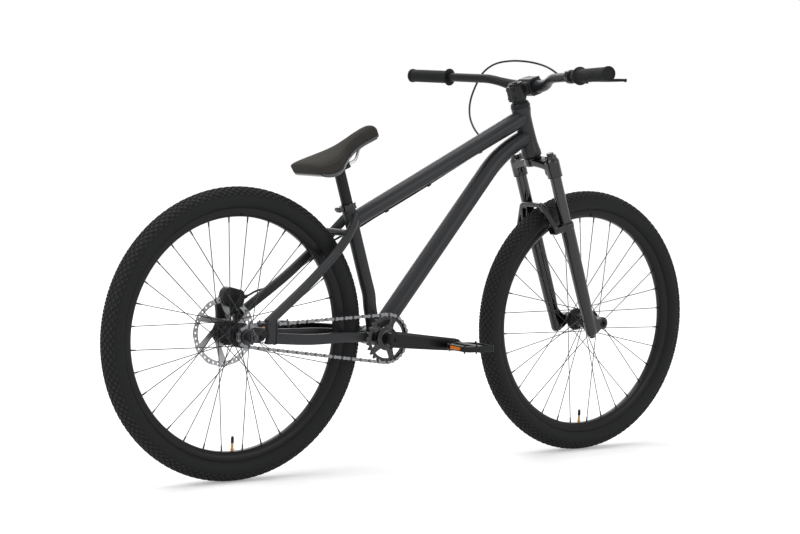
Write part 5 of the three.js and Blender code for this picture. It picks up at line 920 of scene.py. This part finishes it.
arm = cast("arm", 1.1, 4, arm, eye, boss, keep=0.3)
cut_away(arm, peg((0, 40, 0), (0, 110, 0), 12.5, 32))
cut_away(arm, peg((CRANK_LENGTH, 70, 0), (CRANK_LENGTH, 100, 0), 7.4, 32))
left_arm = placed(second("crank_arm_left_skin", arm), on_crank @ Matrix.Rotation(math.pi, 4, "Z") @ MIRROR)
preload = turned("preload", [(12.6, 43), (14.4, 43), (15, 43.6), (15, 57), (12.6, 57)], on_axle, 48)
right_arm = placed(arm, on_crank @ MIRROR)
right_arm.name = "crank_arm_right_skin"
fit(right_arm, crank_black, "crankset", "crank_arm_right", slot="gloss_black")
fit(as_one("crank_arm_left_skin", left_arm, preload), crank_black, "crankset", "crank_arm_left",
    slot="gloss_black")
bolt_heads = [peg((0, -79, 0), (0, 79, 0), 11.9, 40)]
for side in (-1, 1):
    washer = turned("washer", [(7, side * 81), (10.4, side * 82.1), (12.2, side * 82.1), (12.6, side * 81)],
                    on_axle, 48)
    bolt_heads += [socket_head((0, 0, 0), side * ACROSS, (79.2, 81.8, 15), (76, 85, 5), 48), washer]
crank_axle = as_one("crank_axle_skin", *bolt_heads)
fit(crank_axle, satin_black, "crankset", "crank_axle", slot="satin_black")

# Pedals: a pinned platform of black alloy with two windows, turning on a steel axle. A moulded amber
# reflector sits in a frame in its front and rear edge.
amber = finish("amber reflector", (214, 112, 22), 0.25, size=300, coat=0.6)


def pedal(name):
    """A pedal of the left side, with its axle along Y"""
    edge = [(-31, 98), (31, 98), (45, 112.7), (45, 177), (35, 190), (-35, 190), (-45, 177), (-45, 112.7)]
    cage = flat_plate("cage", edge, -6.6, 6.6, HERE, 1.6, 3)
    holes = [flat_plate("hole", [(side * 11, 110), (side * 34, 119), (side * 34, 174), (side * 30, 179),
                                 (side * 11, 179)], -12, 12, HERE) for side in (-1, 1)]
    holes.append(slab((-60, 119, -3.4), (60, 169, 3.4)))
    cut_away(cage, *holes)
    ribs = [slab((side * 10, y - 2, -5), (side * 36, y + 2, 5), edge=0.8)
            for side in (1, -1) for y in (128, 161)]
    barrel = turned("barrel", [(5.5, 98.2), (8.4, 98.2), (9, 99), (9, 110), (8.2, 114), (8.2, 172), (9, 176),
                               (9, 190), (8.2, 190.8), (0, 190.8), (0, 190)], on_axle, 32)
    pins = []
    for a, b in ((-38.7, 116.4), (-38.7, 173.4), (38.7, 116.4), (38.7, 173.4), (-12.6, 184.5),
                 (12.6, 184.5)):
        for up in (-1, 1):
            pins.append(peg((a, b, up * 5), (a, b, up * 10.8), 1.8, 12))
            pins.append(peg((a, b, up * 6), (a, b, up * 7.6), 2.8, 6))
    body = as_one(name, cage, *ribs, barrel, *pins)
    lamps = as_one("lamps", *[rounded(slab((side * 45.1, 125, -4.4), (side * 37.9, 163, 4.4)), 0.8)
                              for side in (-1, 1)])
    give(satin_black, body)
    give(amber, lamps)
    return as_one(name, body, lamps)


def pedal_axle(name):
    """The threaded end in the arm, the hex to turn it by, the pin in the pedal and a collar"""
    collar = turned("collar", [(0, 94.2), (8.4, 94.2), (9, 94.6), (8.4, 95), (0, 95)], on_axle, 32)
    return as_one(name, peg((0, 80.2, 0), (0, 94.3, 0), 6.9, 32),
                  rounded(peg((0, 94.4, 0), (0, 97.6, 0), 9, 6), 0.6), peg((0, 97, 0), (0, 178, 0), 5, 24),
                  collar)


for word, side in (("right", -1), ("left", 1)):
    centre = around(-side * CRANK_LENGTH, -CRANK_TURN)
    place = at(centre) @ Matrix.Diagonal((1, side, 1, 1))
    fit(placed(pedal(f"pedal_{word}_skin"), place), None, f"pedal_{word}_body", f"pedal_{word}",
        slot="satin_black")
    fit(placed(pedal_axle(f"pedal_axle_{word}_skin"), place), dark_steel, "crankset",
        f"pedal_axle_{word}", slot="dark_steel")

# Rear brake: a stamped and ground steel rotor with a wavy rim, cooling holes and slanted arms, bolted to
# the hub. A forged black caliper with two round piston caps holds the pads and takes the hose's banjo.
ground_steel = finish("ground steel", (158, 159, 161), 0.36, metallic=0.95, grain=0.1, size=60)
rotor_edge = []
for k in range(144):
    place = around(79 + math.cos(k * math.pi / 6), k * math.pi / 72)
    rotor_edge.append((place.x, place.z))
rotor = flat_plate("rotor", rotor_edge, 51.1, 52.9, SIDE_VIEW, 0.25, 1)
rotor_cutters = window_cutters(6, (67, 0.63, 0.74, 8), (30.5, 0.73, -0.46, 5), 48, 56, 1.6, 2)
rotor_cutters += [rod(around(73.2, k * math.pi / 18), ACROSS, 48, 56, 2.5, 16) for k in range(36)]
cut_away(rotor, *rotor_cutters, peg((0, 48, 0), (0, 56, 0), 15.8, 48))
rotor_bolts = [socket_head(around(22, k * math.pi / 3), ACROSS, (52.8, 54.9, 4.2), (54, 57, 1.9), 24, 0.7)
               for k in range(6)]
fit(placed(as_one("brake_rotor_skin", rotor, *rotor_bolts), at(REAR_AXLE)), ground_steel, "rear_wheel",
    "brake_rotor", slot="bright_steel")

body_half = [(58, 17.5), (69, 28), (89, 28), (99, 22), (102, 15.4)]
caliper = flat_plate("caliper", both_halves(body_half), -12, 15, on_caliper @ SIDE_VIEW, 3, 4)
rounded(caliper, 0.4, 1)
for tool in (slab((40, -4.9, -15.5), (82.4, 4.9, 15.5), on_caliper),
             slab((84, -2.6, -9), (110, 2.6, 9), on_caliper, 1.5),
             slab((40, -4, -40), (66, 4, 40), on_caliper)):
    cut_away(caliper, tool)
caliper_parts = [caliper]
for side, reach in ((-1, 15), (1, 18)):
    cap_outline = [(0, 9), (13, 9), (13, reach - 2.4), (12.2, reach - 1.6), (11.2, reach - 1.4),
                   (10.6, reach), (5.2, reach), (4.4, reach - 1.6), (0, reach - 1.6)]
    cap = turned("cap", [(r, side * height) for r, height in cap_outline], about_axle((80, 0, 0)), 48)
    caliper_parts.append(placed(cap, on_caliper))
for end in (-1, 1):
    mount = Vector((66, 0, end * 23))
    foot = rounded(rod(mount, ACROSS, 9, 15.2, 8), 0.8)
    bolt = rod(mount, ACROSS, 14, 21.6, 3, 20)
    washer = rod(mount, ACROSS, 20.6, 21.6, 6.8, 28)
    head = socket_head(mount, ACROSS, (21.6, 26, 5), (23.4, 29, 2.6), 28)
    caliper_parts += [placed(piece, on_caliper) for piece in (foot, bolt, washer, head)]
hose_tail = Vector(hose_on_frame[-1])
hose_aim = (hose_tail - Vector(hose_on_frame[-2])).normalized()
banjo = hose_tail + 13 * hose_aim
caliper_parts += [peg(hose_tail, banjo, 4.1, 24), peg(hose_tail - 1.5 * hose_aim, hose_tail, 3.4, 20),
                  rounded(peg(hose_tail + 2 * hose_aim, hose_tail + 7 * hose_aim, 4.8, 6), 0.4)]
fit(as_one("brake_caliper_skin", *caliper_parts), satin_black, "frame", "brake_caliper", slot="satin_black")
pad_grey = finish("brake pad compound", (92, 84, 74), 0.7, grain=0.5, size=90)
for word, side in (("outboard", 1), ("inboard", -1)):
    lining, backing = [slab((67, side * near, -13.6), (82, side * far, 13.6), on_caliper, 0.4)
                       for near, far in ((1.55, 3.3), (3.3, 4.8))]
    give(pad_grey, lining)
    give(dark_steel, backing)
    fit(as_one(f"brake_pad_{word}_skin", lining, backing), None, f"pad_{word}", f"brake_pad_{word}",
        slot="dark_steel")

# Seat clamp and post: a black split collar with a cross bolt behind holds a satin black tube. The post's
# head is a cradle whose two halves grip the saddle's rails between two bolts.
clamp_foot = seat_tube_top - 11 * seat_up
clamp_forward = Vector((seat_up.z, 0, -seat_up.x))
on_clamp = frame_of(clamp_forward, ACROSS, seat_up, clamp_foot)
collar = turned("collar", [(16.8, 0), (19, 0), (20, 0.8), (20, 4.6), (19.2, 5.2), (19.2, 9.8), (20, 10.4),
                           (20, 14.2), (19, 15), (14.3, 15), (14.3, 11.6), (16.8, 11.4)],
                on_clamp, 80)
ears = slab((-30.5, -9, 1.2), (-16.8, 9, 13.8), on_clamp, 2.2, 3)
for piece in (ears, collar):
    cut_away(piece, slab((-40, -1.2, -5), (-10, 1.2, 20), on_clamp))
bolt_middle = Vector((-25.25, 0, 7.5))
clamp_bolt = rod(bolt_middle, ACROSS, -12, 12, 2.8, 20)
clamp_heads = [socket_head(bolt_middle, -ACROSS, (9, 13, 4.6), (14, 11, 2.4), 24, 0.7),
               rounded(rod(bolt_middle, ACROSS, 9, 13, 4.6, 24), 0.7)]
for piece in (clamp_bolt, *clamp_heads):
    placed(piece, on_clamp)
give(gloss_black, collar, ears)
give(dark_steel, clamp_bolt, *clamp_heads)
fit(as_one("seat_clamp_skin", collar, ears, clamp_bolt, *clamp_heads), None, "frame", "seat_clamp",
    slot="satin_black")

post_top = seat_line(400)
tilt = math.radians(24)
saddle_forward = Vector((math.cos(tilt), 0, math.sin(tilt)))
saddle_up = Vector((-math.sin(tilt), 0, math.cos(tilt)))
on_saddle = frame_of(saddle_forward, ACROSS, saddle_up, post_top)
post = peg(seat_tube_top - 150 * seat_up, post_top - 4 * seat_up, 13.6, 64)
neck = peg(post_top - 16 * seat_up, post_top + 2 * seat_up, 13.6, 48, 10.5)
cradle = slab((-15, -29, -8.15), (15, 29, -0.15), on_saddle, 1.4, 3)
nose_block = slab((-23, -10, -8.15), (23, 10, -0.15), on_saddle, 1.4, 3)
lid = slab((-15, -29, 0.15), (15, 29, 6.6), on_saddle, 1.4, 3)
lid_nose = slab((-23, -10, 0.15), (23, 10, 5), on_saddle, 1.4, 3)
for side in (-1, 1):
    for block in (cradle, lid):
        cut_away(block, placed(peg((-40, side * 22, 0), (40, side * 22, 0), 3.7, 24), on_saddle))
post_parts = [post, neck, cradle, nose_block, lid, lid_nose]
for end in (-20, 20):
    bolt = peg((end, 0, -9), (end, 0, 8), 2.6, 16)
    head = rounded(peg((end, 0, -13.6), (end, 0, -8.4), 4.2, 24), 0.6)
    nut = rounded(peg((end, 0, 4.6), (end, 0, 8.1), 4.2, 24), 0.6)
    post_parts += [placed(piece, on_saddle) for piece in (bolt, head, nut)]
fit(as_one("seatpost_skin", *post_parts), satin_black, "seat", "seatpost", "saddle_clamp",
    slot="satin_black")

# Saddle: a padded cover of dark suede pulled over a moulded shell, with a crease along each flank. The
# polished shell shows under the edge, and two steel rails bent from one rod carry it.
suede = finish("dark suede", (56, 54, 51), 0.92, uneven=0.12, grain=0.4, size=34)
shell_plastic = finish("shell plastic", (76, 77, 79), 0.22, size=30, coat=0.4)
SADDLE_TAIL = -91
SADDLE_LENGTH = 221
SADDLE_HALF_WIDTH = 70
SADDLE_HEIGHT = 55
CREASE_END = 0.92
saddle_shares = [0, 0.02, 0.08, 0.19, 0.3, 0.4, 0.5, 0.62, 0.76, 0.9, 0.96, 1]
saddle_halves = [0.62, 0.84, 0.98, 1, 0.87, 0.66, 0.45, 0.32, 0.27, 0.25, 0.21, 0.09]
saddle_crowns = [0.64, 0.74, 0.775, 0.76, 0.75, 0.76, 0.8, 0.88, 0.97, 1, 0.92, 0.68]
saddle_skirts = [0.42, 0.32, 0.13, 0, 0.05, 0.14, 0.24, 0.34, 0.39, 0.4, 0.41, 0.46]


def along_saddle(values, share):
    """A smooth run through the values at the saddle's stations"""
    k = max(i for i in range(len(saddle_shares) - 1) if saddle_shares[i] <= share or i == 0)
    before, after = max(k - 1, 0), min(k + 2, len(values) - 1)
    width = saddle_shares[k + 1] - saddle_shares[k]
    slope_in = (values[k + 1] - values[before]) / (saddle_shares[k + 1] - saddle_shares[before]) * width
    slope_out = (values[after] - values[k]) / (saddle_shares[after] - saddle_shares[k]) * width
    t = (share - saddle_shares[k]) / width
    return ((2 * t ** 3 - 3 * t ** 2 + 1) * values[k] + (t ** 3 - 2 * t ** 2 + t) * slope_in
            + (3 * t ** 2 - 2 * t ** 3) * values[k + 1] + (t ** 3 - t ** 2) * slope_out)


def saddle_place(share, angle, fade):
    """A place on the saddle's skin, with the section shrunk by the fade"""
    half = along_saddle(saddle_halves, share) * SADDLE_HALF_WIDTH * fade
    high = along_saddle(saddle_crowns, share) * SADDLE_HEIGHT
    low = along_saddle(saddle_skirts, share) * SADDLE_HEIGHT
    shoulder = low + (high - low) * 0.62
    c, s = math.cos(angle), math.sin(angle)
    if s >= 0:
        y = math.copysign(abs(c) ** 0.75, c) * half
        z = shoulder + (high - shoulder) * fade * s ** 0.8
        if share < CREASE_END:
            crease = math.exp(-((s - 0.42) / 0.055) ** 2) * min(1, 6 * share, 5 * (CREASE_END - share))
            y -= math.copysign(1.3, c) * crease
            z -= 0.9 * crease
    else:
        y = math.copysign(abs(c) ** 0.35, c) * half * (1 + 0.12 * s)
        z = shoulder - (shoulder - low) * fade * min(1, -2.2 * s)
    return Vector((SADDLE_TAIL + SADDLE_LENGTH * share, y, z)) / 1000


def saddle_skin(name, start, end, rows, columns, opening=0.0):
    """The skin between two stations, rounded in at both ends, all round or with an opening on top"""
    quarter = [k * math.pi / 12 for k in range(7)]
    round_tail, round_nose = 0.028, 0.022
    stations = [(start + round_tail * (1 - math.cos(a)), math.sin(a)) for a in quarter[:6]]
    stations += [(start + round_tail + (end - start - round_tail - round_nose) * k / rows, 1)
                 for k in range(rows + 1)]
    stations += [(end - round_nose * (1 - math.sin(a)), math.cos(a)) for a in quarter[1:]]
    turn = math.pi - 2 * opening if opening else 2 * math.pi
    first = math.pi + opening if opening else math.pi / 2
    bpy.ops.mesh.primitive_grid_add(x_subdivisions=columns, y_subdivisions=len(stations) - 1, size=1)
    skin = bpy.context.object
    skin.name = name
    for vertex in skin.data.vertices:
        share, fade = stations[round((vertex.co.y + 0.5) * (len(stations) - 1))]
        vertex.co = saddle_place(share, first + (vertex.co.x + 0.5) * turn, max(fade, 0.02))
    bpy.ops.object.mode_set(mode="EDIT")
    bpy.ops.mesh.select_all(action="SELECT")
    bpy.ops.mesh.remove_doubles(threshold=0.00005)
    bpy.ops.mesh.normals_make_consistent(inside=False)
    bpy.ops.object.mode_set(mode="OBJECT")
    return skin


cover = saddle_skin("saddle_cover_skin", 0, 1, 90, 96)
smooth(cover, 60)
fit(placed(cover, on_saddle), suede, "seat", "saddle_cover", slot="suede")
shell = saddle_skin("saddle_shell_skin", 0.03, 0.95, 60, 48, opening=0.33)
modified(shell, "SOLIDIFY", thickness=0.0022, offset=1)
smooth(shell, 50)
fit(placed(shell, on_saddle), shell_plastic, "seat", "saddle_shell", slot="shell_plastic")
rail_half = [(-76, 30, 23), (-68, 28.4, 14), (-59, 26, 6.2), (-50, 23.4, 1), (-42, 22, 0), (-17, 22, 0),
             (17, 22, 0), (32, 22, 0), (42, 18.6, 3), (62, 9.5, 16), (80, 6, 24), (92, 4.6, 29)]
rails = [placed(drawn("rail", flowing([(x, side * y, z) for x, y, z in rail_half], 6), 3.45, 20), on_saddle)
         for side in (-1, 1)]
nose_socket = slab((86, -9, 25.4), (98, 9, 33), on_saddle, 2, 3)
tail_sockets = [placed(rounded(peg((-79, side * 30.6, 26.4), (-71, side * 29, 17), 5.4, 20), 0.8), on_saddle)
                for side in (-1, 1)]
give(shell_plastic, nose_socket, *tail_sockets)
give(bright_steel, *rails)
fit(as_one("saddle_rails_skin", *rails, nose_socket, *tail_sockets), None, "seat", "saddle_rails",
    slot="bright_steel")

# Headset and fork: two pressed black cups carry the steerer. Polished black stanchions run from a forged
# crown down into cast, gloss black lowers with a bridge behind the wheel and thick lugs for the axle.
upper_cup = turned("headset_upper_cup_skin", [
    (15.5, 585.3), (24.2, 585.3), (24.8, 585.9), (24.8, 588.6), (23.9, 589.2), (23.4, 592.6),
    (21.4, 597), (20.8, 597.3), (15.5, 597.3)], on_steering, 80)
fit(upper_cup, satin_black, "frame", "headset_upper_cup", slot="satin_black")
lower_cup = turned("headset_lower_cup_skin", [
    (15.5, 455.2), (20.8, 455.2), (21.6, 455.5), (23.9, 458), (24.5, 458.5), (24.5, 459.2),
    (24, 459.7), (15.5, 459.7)], on_steering, 80)
fit(lower_cup, satin_black, "frame", "headset_lower_cup", slot="satin_black")

LEG_AHEAD = 3.5
LEG_ASIDE = 67


def on_leg(side, height=0):
    """A place on the middle line of a fork leg, in the frame of the steering axis"""
    return Vector((LEG_AHEAD, side * LEG_ASIDE, height))


arch_line = flowing([on_leg(-1, 432), (1.75, -33.5, 441), (0, 0, 445), (1.75, 33.5, 441), on_leg(1, 432)], 6)
crown_arch = drawn("arch", arch_line, section=(18.5, 10.4, 0.5))
sockets = []
for side in (-1, 1):
    sockets.append(turned("socket", [(0, 404.4), (17.4, 404.4), (18.6, 405.6), (18.6, 444), (18, 446),
                                     (14.6, 452), (14, 453), (14, 459), (13, 460.2), (0, 460.2)],
                          at(on_leg(side)), 48))
    sockets.append(slab((-14, side * 60 - 9, 412), (16, side * 60 + 9, 446), HERE, 3, 3))
middle_boss = turned("boss", [(0, 434), (19, 434), (22, 437.5), (22, 449), (20, 450.4), (0, 450.4)], HERE, 48)
crown = cast("crown", 1.5, 5, crown_arch, middle_boss, *sockets, keep=0.35)
cut_away(crown, slab((-13, -18, 425), (13, 18, 438), HERE, 4, 3),
         *[peg(on_leg(side, 380), on_leg(side, 431), 14.7, 48) for side in (-1, 1)])
race = turned("race", [(0, 448), (21, 448), (22, 449), (22, 454), (21.2, 454.9), (0, 454.9)])
lips = [turned("lip", [(14.9, low - 0.8), (radius, low - 0.8), (radius, low + 1.2), (14.9, low + 1.2)],
               at(on_leg(side)), 48)
        for side in (-1, 1) for low, radius in ((404.9, 18.9), (441.4, 18.7))]
knob = turned("knob", [(0, 459), (9, 459), (9, 465), (8.2, 466), (0, 466)], at(on_leg(-1)), 24)
crown = as_one("fork_crown_skin", crown, race, peg((0, 0, 452), (0, 0, 641), 14.3, 64), *lips, knob)
fit(placed(crown, on_steering), gloss_black, "steerer", "fork_crown", slot="gloss_black")
stanchion_black = finish("polished stanchion", (15, 15, 16), 0.08, uneven=0.03, size=20, coat=1)
for word, side in (("right", -1), ("left", 1)):
    stanchion = placed(peg(on_leg(side, 160), on_leg(side, 443), 14.5, 64), on_steering)
    stanchion.name = f"stanchion_{word}_skin"
    fit(stanchion, stanchion_black, "steerer", f"stanchion_{word}", slot="bright_steel")

lug_edge = []
for k in range(25):
    angle = math.radians(-128 + k * 256 / 24)
    lug_edge.append((AXLE_AHEAD + 16 * math.cos(angle), 16 * math.sin(angle)))
lug_edge += [(20, 27), (14, 42), (2, 44), (-5, 30), (-7, 6), (-4, -10), (3.5, -17.5), (16, -18)]
legs = []
for side in (-1, 1):
    tube = turned("leg", [(0, -20), (10.6, -20), (11.8, -18.8), (14.5, -13), (14.6, 34), (15.2, 50),
                          (16.4, 72), (16.9, 150), (17.6, 262), (17.7, 268), (18.6, 270), (18.6, 281),
                          (17.9, 282), (16.4, 282), (0, 282)], at(on_leg(side)), 56)
    lug = flat_plate("lug", lug_edge, side * 55.3, side * 78, SIDE_VIEW, 2.4, 3)
    shoulder = slab((-42, side * 62.6 - 13.2, 266), (LEG_AHEAD, side * 62.6 + 13.2, 282), HERE, 3, 3)
    legs += [tube, lug, shoulder]
half_bridge = [(0, 347), (26, 347), (35, 347), (44, 341), (75.8, 284), (75.8, 267), (62, 266), (49.4, 268),
               (31.5, 332), (24, 336), (0, 336)]
bridge_edge = half_bridge + [(-y, z) for y, z in half_bridge[-2:0:-1]]
front_view = Matrix(((0, 0, 1, 0), (1, 0, 0, 0), (0, 1, 0, 0), (0, 0, 0, 1)))
bridge = flat_plate("bridge", bridge_edge, -42, -27.5, front_view, 4.4, 4)
for side in (-1, 1):
    hole = [(side * y, z) for y, z in ((45.2, 317.8), (50, 312.2), (64, 289.3), (64, 285.4), (52.2, 285.4))]
    cut_away(bridge, flat_plate("hole", hole, -60, -10, front_view, 1.2, 2))
lowers = cast("lowers", 1.5, 4, bridge, *legs, keep=0.36)
cut_away(lowers, peg((AXLE_AHEAD, -90, 0), (AXLE_AHEAD, 90, 0), 10.15, 48),
         *[peg(on_leg(side, 57), on_leg(side, 300), 14.8, 64) for side in (-1, 1)])
wipers = [turned("wiper", [(14.6, 280), (17.2, 280), (17.2, 283.2), (15.6, 285.4), (14.6, 285.4)],
                 at(on_leg(side)), 56) for side in (-1, 1)]
foot_nuts = [turned("nut", [(0, -21.2), (5, -21.2), (6, -20.2), (6, -18), (0, -18)], at(on_leg(side)), 24)
             for side in (-1, 1)]
nub = turned("nub", [(0, -26), (6, -26), (7, -25), (7, -19), (0, -19)], at(on_leg(-1)), 32)
give(hose_black, *wipers)
give(gloss_black, lowers, *foot_nuts, nub)
lowers = as_one("fork_lowers_skin", lowers, *wipers, *foot_nuts, nub)
fit(placed(lowers, on_steering), None, "fork_slider", "fork_lowers", slot="gloss_black")
front_bolt = peg((AXLE_AHEAD, -78, 0), (AXLE_AHEAD, 78, 0), 10, 48)
cut_away(front_bolt, peg((AXLE_AHEAD, -74, 0), (AXLE_AHEAD, -90, 0), 5, 6),
         peg((AXLE_AHEAD, 74, 0), (AXLE_AHEAD, 90, 0), 6, 32))
rings = [turned("ring", [(7, side * 77.4), (9.8, side * 77.4), (9.8, side * 78.4), (7.4, side * 78.4)],
                about_axle((AXLE_AHEAD, 0, 0)), 48) for side in (-1, 1)]
fit(placed(as_one("front_axle_skin", front_bolt, *rings), on_steering), satin_black, "fork_slider",
    "front_axle", slot="dark_steel")

# Stem: a forged black block with a machined face. Two pinch bolts close it on the steerer over a spacer,
# a dished cap sets the bearings, and a plate with a window and four bolts clamps the bar in front.
machined_black = finish("machined black", (30, 31, 33), 0.3, grain=0.03, size=16, coat=0.1)
fit(turned("headset_spacer_skin", [(14.5, 597.6), (17.4, 597.6), (18, 598.2), (18, 602), (17.4, 602.6),
                                   (14.5, 602.6)], on_steering, 64), satin_black, "steerer",
    "headset_spacer", slot="satin_black")
cap = turned("stem_top_cap_skin", [
    (0, 643.2), (17.4, 643.2), (18, 643.8), (18, 646.2), (17, 647.4), (8, 646.6), (7, 645.8), (6, 646),
    (5.6, 648.9), (0, 649.2)])
cut_away(cap, peg((0, 0, 647), (0, 0, 652), 2.9, 6))
fit(placed(cap, on_steering), satin_black, "steerer", "stem_top_cap", slot="satin_black")
clamp = turned("clamp", [(0, 602.9), (19.2, 602.9), (20, 603.7), (20, 642.1), (19.2, 642.9), (0, 642.9)],
               steps=64)
neck = drawn("neck", [(-4, 0, 622.6), (14, 0, 623.8), (38, 0, 625)], section=(16, 16.8, 0.35))
BAR_CENTRE = Vector((44.5, 0, 625))
block_half = [(-22, -11), (-13.2, -22), (13.2, -22), (22, -8.8)]
block_edge = [(BAR_CENTRE.x + x, BAR_CENTRE.z + z) for x, z in both_halves(block_half)]
block = flat_plate("block", block_edge, -24, 24, SIDE_VIEW, 1.6, 3)
ears = slab((-25, -10, 604), (-8, 10, 642), HERE, 2, 3)
stem = cast("stem", 1.1, 3, clamp, neck, block, ears, keep=0.3)
bar_drill = rod(BAR_CENTRE, ACROSS, -60, 60, 16.05, 64)
plate = second("plate", stem)
for tool in (peg((0, 0, 590), (0, 0, 660), 14.5, 48), slab((-40, -1, 590), (-10, 1, 660)),
             slab((44.5, -40, 580), (90, 40, 680)), second("drill", bar_drill)):
    cut_away(stem, tool)
for tool in (slab((-60, -60, 560), (45.3, 60, 680)), bar_drill,
             slab((60, -9, 620.5), (80, 9, 629.5), HERE, 1.6)):
    cut_away(plate, tool)
stem_parts = [stem]
for up in (-1, 1):
    height = 622.9 + up * 11
    stem_parts += [socket_head((-20, 0, height), -ACROSS, (13, 9, 4), (14, 11.4, 2.2), 24, 0.5),
                   rounded(peg((-20, 9, height), (-20, 12.4, height), 4, 24), 0.5)]
fit(placed(as_one("stem_skin", *stem_parts), on_steering), machined_black, "steerer", "stem",
    slot="satin_black")
plate_bolts = [socket_head((0, side * 17, 625 + up * 17.4), AHEAD, (50, 63.6, 3.9), (61.6, 68, 2), 24, 0.5)
               for side in (-1, 1) for up in (-1, 1)]
fit(placed(as_one("stem_faceplate_skin", plate, *plate_bolts), on_steering), machined_black, "steerer",
    "stem_faceplate", slot="satin_black")

# Handlebar: one swaged and bent alloy tube with a low rise, thick in the middle and thin in the grips.
bend = Vector((16, 137, 654))
bar_end = Vector((-27, 380, 676.5))
bar_out = (bar_end - bend).normalized()
rise_start, rise_first, rise_last = BAR_CENTRE + 35 * ACROSS, BAR_CENTRE + 75 * ACROSS, bend - 40 * bar_out
bar_line = [BAR_CENTRE]
for k in range(21):
    t = k / 20
    bar_line.append((1 - t) ** 3 * rise_start + 3 * t * (1 - t) ** 2 * rise_first
                    + 3 * t ** 2 * (1 - t) * rise_last + t ** 3 * bend)
bar_line += [bend.lerp(bar_end, k / 4) for k in range(1, 5)]
bar_line = [Vector((p.x, -p.y, p.z)) for p in bar_line[:0:-1]] + bar_line
bar_radii = [15.9 - 4.8 * min(1, max(0, (abs(p.y) - 38) / 57)) for p in bar_line]
bar = drawn("handlebar_skin", bar_line, 1, 32, bar_radii)
fit(placed(bar, on_steering), satin_black, "steerer", "handlebar", slot="satin_black")

# Grips: moulded rubber sleeves with a wide inner flange, a fine knurl on the body and a plug in the end.
grip_rubber = finish("grip rubber", (20, 21, 22), 0.58, uneven=0.06, grain=0.2, size=26)
grip_outline = [(11.3, 117), (20.6, 117), (21.8, 118), (21.8, 120.2), (20.6, 121.2), (17.6, 122.4),
                (16.2, 125)]
for k in range(58):
    grip_outline += [(15.85, 126.2 + 2 * k), (16.1, 126.9 + 2 * k), (16.1, 127.5 + 2 * k)]
grip_outline += [(15.6, 243.4), (15.6, 243.9), (17, 244.4), (17.5, 245), (17.5, 249.8), (16.6, 251.2),
                 (14.2, 251.3), (13.6, 250.2), (0, 250.2), (0, 247), (11.3, 246.4)]
for word, side in (("left", 1), ("right", -1)):
    out = Vector((bar_out.x, side * bar_out.y, bar_out.z))
    root = Vector((bend.x, side * bend.y, bend.z))
    across = AHEAD - out.x * out
    across.normalize()
    along_bar = frame_of(across, out.cross(across), out, root)
    grip = turned(f"grip_{word}_skin", grip_outline, along_bar, 48)
    fit(placed(grip, on_steering), grip_rubber, "steerer", f"grip_{word}", slot="grip_rubber")

# Brake lever: a forged black blade with a finger hook swings on a pin in the master cylinder's body,
# which lies along the bar and is held to it by a hinged clamp.
lever_out = Vector((bar_out.x, -bar_out.y, bar_out.z))
lever_ahead = Vector((0.8672, 0, -0.498))
lever_ahead = (lever_ahead - lever_ahead.dot(lever_out) * lever_out).normalized()
lever_normal = lever_out.cross(lever_ahead)
on_lever = on_steering @ frame_of(lever_ahead, lever_normal, lever_out, (bend.x, -bend.y, bend.z))
ring = turned("ring", [(11.4, 69.5), (15.9, 69.5), (16.5, 70.1), (16.5, 81.9), (15.9, 82.5), (11.4, 82.5)],
              HERE, 48)
hinge = slab((-19, -4, 70.5), (-10, 4, 81.5), HERE, 1.6, 3)
cylinder = turned("cylinder", [(0, 20), (3.4, 20), (4, 20.6), (4, 27.4), (7.6, 28), (8.5, 29.4), (8.5, 82),
                               (7.4, 84), (0, 84)], at((25, 0, 0)), 40)
neck = slab((10, -5.5, 70.2), (26, 5.5, 81.8), HERE, 2, 3)
web = slab((20, -7.6, 62), (32, 7.6, 86), HERE, 3, 3)
body = cast("body", 0.8, 3, cylinder, neck, web, keep=0.4)
ear_edge = [(19, 70), (31, 68), (40, 86), (41, 92), (38, 97), (33, 99), (28, 97), (24, 90)]
lever_plates = [flat_plate("ear", ear_edge, side * 5.8, side * 8.8, SIDE_VIEW, 0.8) for side in (-1, 1)]
cut_away(body, slab((28, -5.8, 80), (60, 5.8, 110)))
LEVER_PIN = Vector((33, 0, 91))
pin = rod(LEVER_PIN, ACROSS, -9.5, 9.5, 3, 24)
clamp_screw = peg((-14.5, -8, 76), (-14.5, 8, 76), 2.6, 20)
screw_head = rounded(peg((-14.5, 4, 76), (-14.5, 9, 76), 4.2, 24), 0.5)
hose_nut = rounded(peg((25, 0, 14.5), (25, 0, 20.5), 4, 6), 0.4)
give(dark_steel, ring, pin, clamp_screw, screw_head)
give(satin_black, body, hinge, hose_nut, *lever_plates)
fit(placed(as_one("brake_lever_body_skin", body, ring, hinge, pin, clamp_screw, screw_head, hose_nut,
                  *lever_plates), on_lever), None, "steerer", "brake_lever_body", slot="satin_black")
blade_line = flowing([LEVER_PIN, (42, 0, 116), (50, 0, 142), (57, 0, 176), (61, 0, 204), (64, 0, 217)], 5)
blade = drawn("blade", blade_line, shares=narrowing(blade_line, 0.35), section=(4.6, 5.1, 0.5),
              twist="MINIMUM")
eye = rod(LEVER_PIN, ACROSS, -5.4, 5.4, 6.2)
hook = peg((64, 0, 216), (68, 0, 219), 4.2, 24)
lever = cast("brake_lever_skin", 0.8, 3, blade, eye, hook)
cut_away(lever, rod(LEVER_PIN, ACROSS, -9, 9, 3.1, 24))
fit(placed(lever, on_lever), satin_black, "lever", "brake_lever", slot="satin_black")
